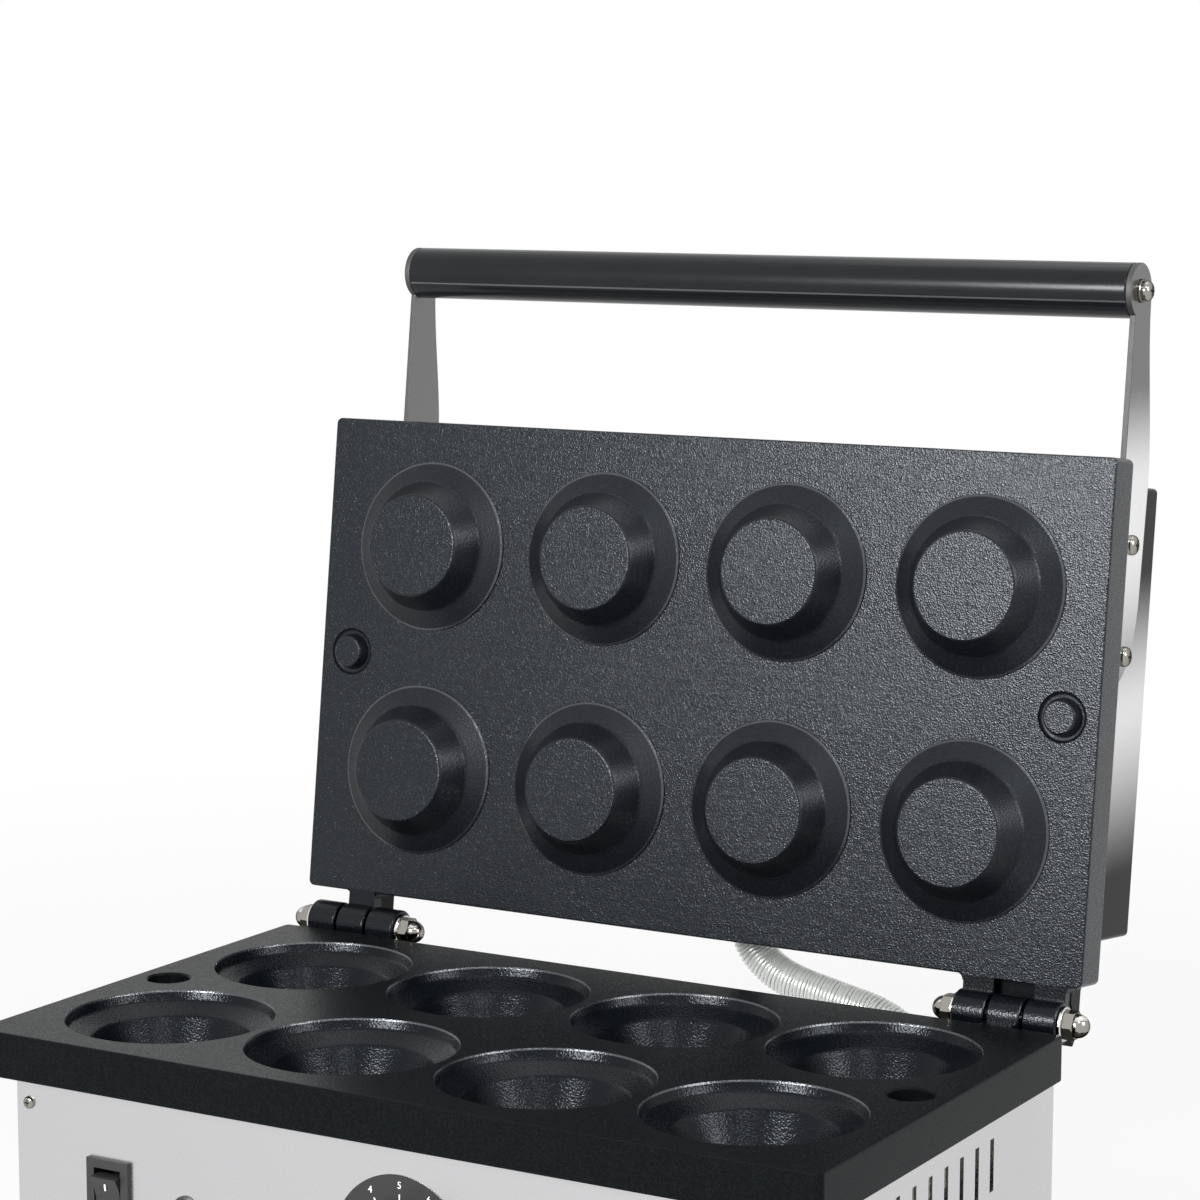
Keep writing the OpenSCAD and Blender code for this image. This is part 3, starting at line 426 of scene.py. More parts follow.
COAT = NonstickCoat("nonstick_grain", (0.0010, 0.0016, 0.0024))
COAT_SMOOTH = NonstickCoat("nonstick_smooth", (0.004, 0.0048, 0.0060), 0.5, 0.36, 1000.0, 0.24, 2.4)
# Lighter, shinier coat on brim edges, cup lips and the lid plate's far wall: a painted highlight.
COAT_EDGE_HIGHLIGHT = NonstickCoat("nonstick_edge_painted_highlight", (0.012, 0.013, 0.015), 0.8, 0.28, 1000.0, 0.9, 1.8)
COAT_CUP = NonstickCoat("nonstick_cup", (0.0015, 0.0022, 0.0032), 0.9, 0.24, 1200.0, 0.16, 2.2)
# Dull coat of the lower plate's top; on the lid plate's recessed bridge it is a painted shade.
COAT_TOP_AND_RECESS_SHADE = NonstickCoat("nonstick_worn_and_painted_shade", (0.0022, 0.0028, 0.0032), 0.3, 0.34, 1200.0, 0.07, 2.4)
COAT_LUG = NonstickCoat("nonstick_gloss", (0.002, 0.0025, 0.0035), 0.7, 0.24, 1200.0, 0.24, 2.0)
SHEET = BrushedSteel("satin_sheet", (0.50, 0.50, 0.51), roughness=0.22, along="Z")
# Cover sides: a painted reflection across a strip of heights, with painted shade above and below it.
SHEET_SIDE_PAINTED_REFLECTION = BrushedSteel(
    "satin_sheet_side_painted_reflection", (0.95, 0.95, 0.95), 0.22, "X", painted_shade=0.02, rise=(0.18, 0.278), fall=(0.262, 0.345)
)
PANEL = BrushedSteel("satin_panel", (0.62, 0.62, 0.63), roughness=0.28, along="X")
ARM = BrushedSteel("satin_arm", (0.19, 0.19, 0.19), roughness=0.30, along="Z")
# Right arm: a painted reflection across a strip of heights, with painted shade above and below it.
ARM_PAINTED_REFLECTION = BrushedSteel(
    "satin_arm_painted_reflection", (0.98, 0.98, 0.98), 0.26, "Z", painted_shade=0.22, rise=(0.26, 0.35), fall=(0.375, 0.43)
)
# Arm edges and bevels: darker, rougher steel than the arms' faces, a painted shade.
ARM_EDGE_PAINTED_SHADE = BrushedSteel("satin_arm_edge_painted_shade", (0.10, 0.10, 0.10), 0.60, "Z")
NICKEL = PlatedMetal("nickel_plate", (0.36, 0.345, 0.315), roughness=0.13, rim=0.15)
# Painted shade for the acorn nuts' downward faces.
NICKEL_PAINTED_SHADE = PlatedMetal("nickel_painted_shade", (0.05, 0.047, 0.04), roughness=0.16, rim=0.15)
# Painted highlight on the nuts' upward faces; also the washers' pale plating.
NICKEL_PALE_AND_HIGHLIGHT = PlatedMetal("nickel_pale_and_painted_highlight", (0.80, 0.79, 0.76), roughness=0.13, rim=0.3)
ZINC = PlatedMetal("zinc_plate", (0.60, 0.61, 0.62), roughness=0.30)
SPRING = PlatedMetal("spring_wire", (0.86, 0.88, 0.85), roughness=0.30, metal=0.4)
CORE = PlatedMetal("conduit_lining", (0.75, 0.76, 0.74), roughness=0.5)
SHEATH = PlatedMetal("heated_sheath", (0.22, 0.20, 0.18), roughness=0.45)
SHIELD = PlatedMetal("aluminised_sheet", (0.68, 0.68, 0.68), roughness=0.34)
WOOL = MineralWool("mineral_wool", (0.72, 0.66, 0.50))
GLOSS = MouldedPlastic("gloss_black", (0.005, 0.006, 0.0075), 0.22, 0.0, 0.24)
# A lighter line along the handle bar, a painted reflection.
PAINTED_REFLECTION_LINE = MouldedPlastic("gloss_painted_reflection_line", (0.055, 0.057, 0.06), 0.2, 0.0)
BLACK = MouldedPlastic("satin_black", (0.018, 0.018, 0.019), 0.42, 0.18)
DIAL = MouldedPlastic("dial_black", (0.015, 0.015, 0.016), 0.38, 0.1)
PRINT = MouldedPlastic("dial_white", (0.80, 0.80, 0.78), 0.45, 0.0)
RUBBER = Rubber("foot_rubber", (0.022, 0.022, 0.022))
RED = LampLens("red_lens", (0.55, 0.02, 0.015))
GREEN = LampLens("green_lens", (0.02, 0.38, 0.06))
CERAMIC = MouldedPlastic("ceramic", (0.80, 0.79, 0.75), 0.3, 0.05)
BRASS = PlatedMetal("brass", (0.75, 0.55, 0.22), roughness=0.25)


# ---------------------------------------------------------------- measures and placements
def mm(*values: float) -> tuple[float, ...]:
    """Millimetres as metres."""
    return tuple(v * MM for v in values)


def shift(x: float = 0, y: float = 0, z: float = 0) -> Matrix:
    """A translation in millimetres."""
    return Matrix.Translation(mm(x, y, z))


def turn(degrees: float, axis: str) -> Matrix:
    """A rotation about an axis."""
    return Matrix.Rotation(math.radians(degrees), 4, axis)


def arc(radius: float, start: float, end: float, steps: int, centre: Point = (0, 0)) -> list[Point]:
    """Points of an arc, from start to end in degrees.

    Args:
        radius: Its radius.
        start: The angle it starts at, in degrees.
        end: The angle it ends at, in degrees.
        steps: How many points it has, both ends included.
        centre: Its centre.

    Returns:
        The points.
    """
    first, last = math.radians(start), math.radians(end)
    angles = [first + (last - first) * i / (steps - 1) for i in range(steps)]
    return [(centre[0] + radius * math.cos(a), centre[1] + radius * math.sin(a)) for a in angles]


SIDEWAYS = Matrix(((0, 0, 1, 0), (1, 0, 0, 0), (0, 1, 0, 0), (0, 0, 0, 1)))
FLIP = turn(180, "Y")
ALONG_X = turn(90, "Y")
FORWARD = turn(90, "X")
BACKWARD = turn(-90, "X")


# ---------------------------------------------------------------- modelling
class Bench:
    """Modelling moves that the sub-assemblies share. Sizes are in millimetres."""

    @staticmethod
    def clear() -> None:
        """Deselects every object."""
        bpy.ops.object.select_all(action="DESELECT")

    @staticmethod
    def only(obj: Piece) -> None:
        """Makes obj the one selected and active object.

        Args:
            obj: The object to work on.
        """
        Bench.clear()
        obj.select_set(True)
        bpy.context.view_layer.objects.active = obj

    @staticmethod
    def linked(name: str, data: bpy.types.ID) -> Piece:
        """A new object in the scene that carries data.

        Args:
            name: Its name.
            data: A mesh, curve, light or camera.

        Returns:
            The object.
        """
        made = bpy.data.objects.new(name, data)
        bpy.context.scene.collection.objects.link(made)
        return made

    @staticmethod
    def added() -> Piece:
        """The primitive that was just added, with its place applied."""
        bpy.ops.object.transform_apply()
        return bpy.context.active_object

    @staticmethod
    def edit(obj: Piece, mode: str = "FACE") -> None:
        """Opens obj in edit mode with everything selected.

        Args:
            obj: The mesh to open.
            mode: What is selected: VERT, EDGE or FACE.
        """
        Bench.only(obj)
        bpy.ops.object.mode_set(mode="EDIT")
        bpy.ops.mesh.select_mode(type=mode)
        bpy.ops.mesh.select_all(action="SELECT")

    @staticmethod
    def close(obj: Piece) -> Piece:
        """Leaves edit mode."""
        bpy.ops.object.mode_set(mode="OBJECT")
        return obj

    @staticmethod
    def block(size: Sequence[float], centre: Sequence[float]) -> Piece:
        """A box of the given size and centre.

        Args:
            size: Width, depth and height.
            centre: Middle of the box.

        Returns:
            The box.
        """
        Bench.clear()
        bpy.ops.mesh.primitive_cube_add(size=1, location=mm(*centre), scale=mm(*size))
        return Bench.added()

    @staticmethod
    def rounded(obj: Piece, upright: bool, radius: float, segments: int) -> None:
        """Bevels the upright edges of obj, or its level ones, in edit mode.

        Args:
            obj: The box, open in edit mode.
            upright: Whether the upright edges are meant.
            radius: Width of the bevel.
            segments: Faces across the bevel.
        """
        bpy.ops.mesh.select_all(action="DESELECT")
        mesh = bmesh.from_edit_mesh(obj.data)
        for edge in mesh.edges:
            low, high = (corner.co.z for corner in edge.verts)
            edge.select = (abs(high - low) > 1e-6) == upright
        mesh.select_flush_mode()
        bmesh.update_edit_mesh(obj.data)
        bpy.ops.mesh.bevel(offset=radius * MM, segments=segments, affect="EDGES", clamp_overlap=False)

    @staticmethod
    def slab(size: Sequence[float], centre: Sequence[float], corner: float, ease: float = 0.0) -> Piece:
        """A block with rounded upright corners and, if asked, eased top and bottom edges.

        Args:
            size: Width, depth and height.
            centre: Middle of the block.
            corner: Radius of the upright corners.
            ease: Radius of the edges round both flat faces.

        Returns:
            The slab.
        """
        made = Bench.block(size, centre)
        Bench.edit(made, "EDGE")
        Bench.rounded(made, True, corner, 10)
        if ease:
            Bench.rounded(made, False, ease, 3)
        return Bench.close(made)

    @staticmethod
    def lathe(profile: Profile, steps: int = 64) -> Piece:
        """A solid turned about Z.

        Args:
            profile: Radius and height of each ring, from the bottom ring to the top one.
            steps: Faces round the axis.

        Returns:
            The solid, closed by flat ends.
        """
        rings = [mm(*ring) for ring in profile]
        first, height = rings[0]
        Bench.clear()
        bpy.ops.mesh.primitive_circle_add(
            vertices=steps, radius=first, fill_type="NGON", location=(0, 0, height)
        )
        made = Bench.added()
        Bench.edit(made)
        for (r0, z0), (r1, z1) in pairwise(rings):
            bpy.ops.mesh.extrude_region_move(TRANSFORM_OT_translate={"value": (0, 0, z1 - z0)})
            if r1 != r0:
                bpy.ops.transform.resize(value=(r1 / r0, r1 / r0, 1), center_override=(0, 0, z1))
        bpy.ops.mesh.select_all(action="SELECT")
        bpy.ops.mesh.normals_make_consistent(inside=False)
        return Bench.close(made)

    @staticmethod
    def meshed() -> Piece:
        """The active curve or text as a mesh with merged corners and outward faces.

        Returns:
            The mesh.
        """
        bpy.ops.object.convert(target="MESH")
        made = bpy.context.active_object
        Bench.edit(made)
        bpy.ops.mesh.remove_doubles(threshold=1e-6)
        bpy.ops.mesh.normals_make_consistent(inside=False)
        return Bench.close(made)

    @staticmethod
    def drawn(curve: bpy.types.Curve, points: Sequence[Sequence[float]], closed: bool) -> Piece:
        """Runs a curve through points in metres and makes it a mesh.

        Args:
            curve: The curve's data.
            points: What it runs through, in metres.
            closed: Whether it comes back to its start.

        Returns:
            The mesh.
        """
        spline = curve.splines.new("POLY")
        spline.points.add(len(points) - 1)
        for spot, point in zip(spline.points, points):
            spot.co = (*point, 1)
        spline.use_cyclic_u = closed
        Bench.only(Bench.linked(curve.name, curve))
        return Bench.meshed()

    @staticmethod
    def outline(points: Profile, thickness: float, ease: float) -> Piece:
        """A flat plate in the XY plane, centred on Z = 0, with eased edges.

        Args:
            points: The plate's outline.
            thickness: Its thickness along Z.
            ease: Radius of its edges.

        Returns:
            The plate as a mesh.
        """
        curve = bpy.data.curves.new("outline", "CURVE")
        curve.dimensions = "2D"
        curve.fill_mode = "BOTH"
        curve.extrude = thickness * MM / 2 - ease * MM
        curve.bevel_depth = ease * MM
        curve.bevel_resolution = 2
        curve.offset = -ease * MM
        return Bench.drawn(curve, [mm(*point, 0) for point in points], True)

    @staticmethod
    def wire(points: Sequence[Vector], radius: float, resolution: int) -> Piece:
        """A round wire with closed ends.

        Args:
            points: Its middle line.
            radius: Its radius.
            resolution: Bevel resolution of the curve that it is made from.

        Returns:
            The wire as a mesh.
        """
        curve = bpy.data.curves.new("wire", "CURVE")
        curve.dimensions = "3D"
        curve.bevel_depth = radius * MM
        curve.bevel_resolution = resolution
        curve.use_fill_caps = True
        return Bench.drawn(curve, [point * MM for point in points], False)

    @staticmethod
    def moved(obj: Piece, place: Matrix) -> Piece:
        """Applies a placement to obj's own mesh.

        Args:
            obj: The piece.
            place: The placement, which may mirror it.

        Returns:
            The piece.
        """
        obj.data.transform(place)
        if place.determinant() < 0:
            obj.data.flip_normals()
        return obj

    @staticmethod
    def copy(obj: Piece, place: Matrix) -> Piece:
        """A copy of obj with its own mesh, moved by place."""
        return Bench.moved(Bench.linked(obj.name, obj.data.copy()), place)

    @staticmethod
    def at(obj: Piece, places: Iterable[Matrix]) -> Piece:
        """Copies obj to every place, joins the copies and drops the original.

        Args:
            obj: The piece to repeat.
            places: A placement for each copy.

        Returns:
            All copies as one piece.
        """
        copies = [Bench.copy(obj, place) for place in places]
        bpy.data.objects.remove(obj)
        return Bench.joined(copies)

    @staticmethod
    def joined(objs: Sequence[Piece]) -> Piece:
        """Joins meshes into the first one.

        Args:
            objs: The pieces.

        Returns:
            The first piece, with the others in it.
        """
        Bench.clear()
        for obj in objs:
            obj.select_set(True)
        bpy.context.view_layer.objects.active = objs[0]
        if len(objs) > 1:
            bpy.ops.object.join()
        return objs[0]

    @staticmethod
    def modified(obj: Piece, kind: str, **settings: object) -> Piece:
        """Applies a modifier of a kind, with its settings, to obj.

        Args:
            obj: The piece.
            kind: The modifier's type.
            settings: Its attributes.

        Returns:
            The piece.
        """
        Bench.only(obj)
        modifier = obj.modifiers.new(kind, kind)
        for key, value in settings.items():
            setattr(modifier, key, value)
        bpy.ops.object.modifier_apply(modifier=modifier.name)
        return obj

    @staticmethod
    def combined(obj: Piece, tool: Piece, operation: str = "DIFFERENCE") -> Piece:
        """Cuts obj by tool, or adds or intersects it, and drops the tool.

        Args:
            obj: The piece.
            tool: The other piece, which is used up.
            operation: DIFFERENCE, UNION or INTERSECT.

        Returns:
            The piece.
        """
        Bench.modified(obj, "BOOLEAN", operation=operation, object=tool, solver="EXACT")
        bpy.data.objects.remove(tool)
        return obj

    @staticmethod
    def eased(obj: Piece, width: float, angle: float = 35) -> Piece:
        """Rounds obj's edges that are sharper than angle degrees."""
        limit = {"limit_method": "ANGLE", "angle_limit": math.radians(angle)}
        return Bench.modified(obj, "BEVEL", width=width * MM, segments=2, miter_outer="MITER_ARC", **limit)

    @staticmethod
    def from_node(node: str, width: float) -> Piece:
        """A copy of a CAD node with whole faces and eased edges.

        Args:
            node: The node's name.
            width: Radius of the eased edges.

        Returns:
            The copy.
        """
        made = Bench.linked(node + "_copy", frame["nodes"][node].data.copy())
        made.data.materials.clear()
        Bench.edit(made)
        bpy.ops.mesh.remove_doubles(threshold=2e-6)
        bpy.ops.mesh.dissolve_limited(angle_limit=math.radians(0.5))
        return Bench.eased(Bench.close(made), width)

    @staticmethod
    def smooth(obj: Piece, angle: float) -> None:
        """Shades obj smooth where its faces meet at less than angle degrees.

        Args:
            obj: The piece.
            angle: That angle.
        """
        Bench.only(obj)
        bpy.ops.object.shade_smooth_by_angle(angle=math.radians(angle))
        Bench.modified(obj, "WEIGHTED_NORMAL", keep_sharp=True)

    @staticmethod
    def paint(obj: Piece, finish: Finish, *others: tuple[Finish, Callable[[Face], bool]]) -> Piece:
        """Gives obj a finish, and others to the faces that their tests accept.

        Args:
            obj: The piece.
            finish: The finish of all other faces.
            others: Finishes with their tests; a later one wins.

        Returns:
            The piece.
        """
        obj.data.materials.clear()
        obj.data.materials.append(finish.material())
        for slot, (extra, wanted) in enumerate(others, 1):
            obj.data.materials.append(extra.material())
            for face in obj.data.polygons:
                if wanted(face):
                    face.material_index = slot
        return obj


def hand_in(
    obj: Piece,
    name: str,
    body: Body,
    place: Matrix = Matrix.Identity(4),
    replaces: Sequence[str] = (),
    smooth: float = 35,
) -> None:
    """Places, names and smooths a finished piece and fixes it to its body.

    Args:
        obj: The piece, already painted.
        name: Its name.
        body: The body it rides on.
        place: Placement that is applied to its mesh.
        replaces: CAD nodes that it stands for.
        smooth: Angle under which its faces are shaded smooth, in degrees.
    """
    Bench.moved(obj, place)
    Bench.smooth(obj, smooth)
    obj.name = name
    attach(obj, body.value)
    if replaces:
        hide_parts(*replaces)
    log.info("%s: %d faces", name, len(obj.data.polygons))


def finish_node(finish: Finish, *nodes: str) -> None:
    """Gives CAD nodes that keep their own shape a finish.

    Args:
        finish: The finish.
        nodes: The nodes' names.
    """
    for node in nodes:
        for slot in frame["nodes"][node].material_slots:
            slot.material = finish.material()
        log.info("%s: %s", node, finish.name)


# ---------------------------------------------------------------- studio
@dataclass(frozen=True)
class SoftBox:
    """A rectangular soft light, aimed at the press."""

    name: str
    place: Place
    size: tuple[float, float]
    power: float
    aim: Place = (0.0, 0.05, 0.25)

    def build(self) -> None:
        """Adds the light."""
        lamp = bpy.data.lights.new(self.name, "AREA")
        lamp.shape = "RECTANGLE"
        lamp.size, lamp.size_y = self.size
        lamp.energy = self.power
        made = Bench.linked(self.name, lamp)
        made.location = self.place
        made.visible_camera = False
        made.rotation_euler = (Vector(self.aim) - Vector(self.place)).to_track_quat("-Z", "Y").to_euler()


@dataclass
class Studio:
    """The camera, the soft light, the pale floor and the white surroundings."""

    lens: float = 101.8
    stand: Place = (780.8, -1393.1, 394.4)
    looking: Place = (-0.50208, 0.85440, -0.13382)
    roll: float = 0.1
    ambient: float = 0.3
    floor_reach: float = 9.0
    floor_white: float = 0.86
    fade_from: float = 0.45
    fade_to: float = 1.5
    boxes: tuple[SoftBox, ...] = (
        SoftBox("key", (-0.22, -1.45, 0.78), (0.55, 0.4), 30),
        SoftBox("rim", (0.90, -0.90, 1.60), (0.4, 0.4), 5),
        SoftBox("side", (1.60, -0.10, 0.95), (0.6, 0.6), 15),
        SoftBox("top", (0.1, 0.6, 2.2), (1.8, 1.2), 7),
    )

    def camera(self) -> None:
        """Sets the camera, which looks down at the open press from its front right."""
        data = bpy.data.cameras.new("camera")
        data.lens = self.lens
        data.sensor_width = 36
        data.clip_end = 50
        made = Bench.linked("camera", data)
        made.location = HINGE + Vector(mm(*self.stand))
        aim = Vector(self.looking).to_track_quat("-Z", "Y").to_matrix().to_4x4()
        made.rotation_euler = (aim @ turn(self.roll, "Z")).to_euler()
        bpy.context.scene.camera = made

    def seen(self, graph: Graph) -> Val:
        """A mask that is 1 for camera, glossy and transmission rays.

        Args:
            graph: The graph that the mask is for.

        Returns:
            The mask.
        """
        camera, glossy, through = (
            graph.node("ShaderNodeLightPath", output=f"Is {kind} Ray")
            for kind in ("Camera", "Glossy", "Transmission")
        )
        return (camera + glossy + through).clamped(0.0, 1.0)

    def surroundings(self) -> None:
        """A world that looks white and lights the press gently."""
        world = bpy.data.worlds.new("surroundings")
        bpy.context.scene.world = world
        graph = Graph(world)
        graph.set(Color=(1.0, 1.0, 1.0, 1.0))
        graph.set(Strength=self.seen(graph) * (1 - self.ambient) + self.ambient)

    def floor(self) -> None:
        """A pale floor that keeps the press's shadow."""
        Bench.clear()
        bpy.ops.mesh.primitive_plane_add(size=2 * self.floor_reach)
        made = bpy.context.active_object
        made.name = "floor"
        graph = Graph(bpy.data.materials.new("pale_floor"))
        graph.set(Base_Color=(0.82, 0.82, 0.82, 1.0), Roughness=0.9, Specular_IOR_Level=0.1)
        glow = graph.node("ShaderNodeEmission", inputs={"Color": (1, 1, 1, 1), "Strength": 1.0})
        spot = graph.node("ShaderNodeTexCoord", output="Object")
        away = graph.node("ShaderNodeVectorMath", {"operation": "LENGTH"}, [spot], "Value")
        fade = away.clamped(self.fade_from, self.fade_to) * (1 - self.floor_white) + self.floor_white
        share = self.seen(graph) * fade
        painted = Val(graph, graph.shader.outputs[0])
        mixed = graph.node("ShaderNodeMixShader", inputs=[share, painted, glow])
        graph.feed(graph.output.inputs["Surface"], mixed)
        made.data.materials.append(graph.owner)

    def build(self) -> None:
        """Light, surroundings and floor."""
        bpy.context.scene.view_settings.view_transform = "Standard"
        self.surroundings()
        self.floor()
        for box in self.boxes:
            box.build()
        log.info("studio: %d soft boxes", len(self.boxes))


# ---------------------------------------------------------------- castings
@dataclass
class Moulds:
    """Where the eight moulds stand on a plate, in millimetres from the hinge axis."""

    pitch_x: float = 100
    pitch_y: float = 112.5
    middle: float = 138

    def centres(self) -> list[Point]:
        """The mould centres."""
        rows = [-self.middle + s * self.pitch_y / 2 for s in SIDES]
        return [((i - 1.5) * self.pitch_x, y) for i in range(4) for y in rows]

    def reach(self, spot: Vector) -> float:
        """Distance in millimetres from a point in metres to the nearest mould's axis."""
        return min(math.hypot(spot.x / MM - x, spot.y / MM - y) for x, y in self.centres())


@dataclass
class Casting:
    """The cast blank that both plates are made from, face up, about the hinge axis."""

    width: float = 425
    depth: float = 240
    height: float = 21
    web: float = 8
    land: float = 26
    corner: float = 3
    edge_ease: float = 1.1
    setback: float = 16.5
    half_gap: float = 0.3
    hinge_x: float = 179.3
    barrel: float = 10
    barrel_ease: float = 1.2
    knuckle: float = 16.2
    knuckle_gap: float = 1.4
    lug_side: float = 0.4
    lug_drop: float = 1.5
    lug_height: float = 19
    lug_root: float = 3
    lug_ease: float = 0.5
    fillet: float = 3
    fillet_ease: float = 0.3
    heel: float = 18
    heel_start: float = 181
    heel_end: float = 311.1
    heel_ease: float = 0.4
    relief: float = 11.5
    bridge_drop: float = 8
    pin_x: float = 194.5
    moulds: Moulds = field(default_factory=Moulds)

    def slab(self) -> Piece:
        """The plate, hollowed behind its web.

        Returns:
            The plate, without its moulds and hinge lugs.
        """
        middle = -self.setback - self.depth / 2
        size = (self.width, self.depth, self.height)
        centre = (0, middle, -self.half_gap - self.height / 2)
        outer = Bench.slab(size, centre, self.corner, self.edge_ease)
        hollow = self.height - self.web + 1
        size = (self.width - 2 * self.land, self.depth - 2 * self.land, hollow)
        centre = (0, middle, -self.half_gap - self.height - 1 + hollow / 2)
        return Bench.combined(outer, Bench.slab(size, centre, self.corner))

    def at_moulds(self, profile: Profile, steps: int = 96) -> Piece:
        """A turned shape at every mould, measured from the plate's face."""
        places = [shift(x, y, -self.half_gap) for x, y in self.moulds.centres()]
        return Bench.at(Bench.lathe(profile, steps), places)

    def at_pins(self, profile: Profile) -> Piece:
        """A turned shape where each locating pin goes, measured from the plate's face."""
        places = [shift(s * self.pin_x, -self.moulds.middle, -self.half_gap) for s in SIDES]
        return Bench.at(Bench.lathe(profile, 48), places)

    def lug(self, x: float, width: float, heel: bool) -> Piece:
        """The block from the plate's edge to a barrel.

        Args:
            x: Middle of the block.
            width: Its width.
            heel: Whether it carries the heel that stops the open lid.

        Returns:
            The block.
        """
        root = -self.setback - self.lug_root
        block = [
            (root, -self.lug_drop),
            (-self.barrel / 2, -self.lug_drop),
            (0, -self.barrel / 2),
            (0, -self.lug_height),
            (root, -self.lug_height),
        ]
        made = Bench.outline(block, width, self.lug_ease)
        if heel:
            sector = [(0.0, 0.0), *arc(self.heel, self.heel_start, self.heel_end, 22)]
            made = Bench.combined(made, Bench.outline(sector, width, self.heel_ease), "UNION")
        return Bench.moved(made, shift(x) @ SIDEWAYS)

    def fillets(self, x: float, width: float) -> Piece:
        """The two fillets where a lug leaves the plate's edge.

        Args:
            x: Middle of the lug.
            width: Its width.

        Returns:
            Both fillets.
        """
        r, high = self.fillet, self.lug_height - self.lug_drop
        section = [(-1, -1), (-1, r), *arc(r, 180, 270, 8, (r, r)), (r, -1)]
        made = Bench.outline(section, high, self.fillet_ease)
        level = -self.lug_drop - high / 2
        right = Bench.copy(made, shift(x + width / 2, -self.setback, level))
        mirrored = shift(x - width / 2, -self.setback, level) @ Matrix.Scale(-1, 4, (1, 0, 0))
        return Bench.joined([right, Bench.moved(made, mirrored)])

    def barrel_at(self, x: float) -> Piece:
        """A hinge barrel with eased ends.

        Args:
            x: Middle of the barrel.

        Returns:
            The barrel.
        """
        half, r, ease = self.knuckle / 2, self.barrel, self.barrel_ease
        ends = arc(ease, -90, 0, 4, (r - ease, -half + ease))
        rings = ends + [(a, -b) for a, b in reversed(ends)]
        return Bench.moved(Bench.lathe(rings, 56), shift(x) @ ALONG_X)

    def bridge(self, reach: float) -> Piece:
        """The bar between the two outer knuckles, hollowed round the other plate's knuckle.

        Args:
            reach: Width over the three knuckles.

        Returns:
            The bar.
        """
        made = self.lug(-self.hinge_x, reach, True)
        bore = Bench.lathe([(self.relief, -reach), (self.relief, reach)], 56)
        made = Bench.combined(made, Bench.moved(bore, shift(-self.hinge_x) @ ALONG_X))
        size = 4 * self.heel
        centre = (-self.hinge_x, -self.setback + size / 2, -self.bridge_drop + size / 2)
        return Bench.combined(made, Bench.block((2 * reach, size, size), centre))

    def hinged(self, plate: Piece) -> Piece:
        """Adds two knuckles on the left and one on the right, rooted in the plate's edge.

        Args:
            plate: The plate.

        Returns:
            The plate with its hinge lugs.
        """
        reach = self.knuckle * 3 + self.knuckle_gap * 2
        step = self.knuckle + self.knuckle_gap
        width = self.knuckle - 2 * self.lug_side

        def knuckle(x: float, heel: bool) -> Piece:
            """A barrel with its lug."""
            return Bench.combined(self.lug(x, width, heel), self.barrel_at(x), "UNION")

        left = self.bridge(reach)
        for s in SIDES:
            left = Bench.combined(left, knuckle(-self.hinge_x + s * step, False), "UNION")
        right = knuckle(self.hinge_x, True)
        roots = [self.fillets(-self.hinge_x, reach), self.fillets(self.hinge_x, width)]
        return Bench.joined([plate, left, right, *roots])

    def on_hinge(self, face: Face) -> bool:
        """Whether a face belongs to the hinge lugs."""
        return face.center.y > -(self.setback - 0.2) * MM

    def on_bridge(self, face: Face) -> bool:
        """Whether a face belongs to the recessed bar between two knuckles."""
        return self.on_hinge(face) and face.center.z < -(self.bridge_drop - 1) * MM


@dataclass
class LowerPlate:
    """The lower plate, with eight stepped cups and two locator sockets."""

    casting: Casting
    socket_r: float = 10
    socket_h: float = 6.3
    cup: tuple[Point, ...] = (
        (26.4, -24), (27.6, -23.7), (28.6, -23.0), (29.2, -22), (36.0, -10.2), (36.6, -9.4),
        (37.6, -8.9), (44.6, -5.3), (45.6, -4.8), (46.4, -4), (47.4, -0.8), (47.9, 0), (48.4, 1),
    )
    shell: tuple[Point, ...] = ((33.1, -28.5), (40.7, -12), (47, -8), (47, -6))
    lip: Point = (46, 48.2)
    lip_drop: float = 1.5

    def in_cup(self, face: Face) -> bool:
        """Whether a face belongs to a cup."""
        return self.casting.moulds.reach(face.center) < self.cup[-1][0] and face.center.z < -0.4 * MM

    def on_lip(self, face: Face) -> bool:
        """Whether a face belongs to the eased lip of a cup."""
        near, far = self.lip
        return near < self.casting.moulds.reach(face.center) < far and face.center.z > -self.lip_drop * MM

    def build(self) -> None:
        """Sinks the cups and sockets into the plate and dresses it."""
        casting, rim = self.casting, self.socket_r
        made = Bench.combined(casting.slab(), casting.at_moulds(self.shell, 64), "UNION")
        socket = [(rim, -self.socket_h), (rim, -0.8), (rim + 0.9, 0), (rim + 1.9, 1)]
        sunk = Bench.joined([casting.at_moulds(self.cup), casting.at_pins(socket)])
        made = casting.hinged(Bench.combined(made, sunk))
        # Cup lips get the lighter, shinier coat, a painted highlight.
        dressed = (COAT_CUP, self.in_cup), (COAT_EDGE_HIGHLIGHT, self.on_lip), (COAT_LUG, casting.on_hinge)
        Bench.paint(made, COAT_TOP_AND_RECESS_SHADE, *dressed)
        hand_in(made, "lower_casting", Body.BASE, BASE_PLACE, ["lower_plate"], 28)


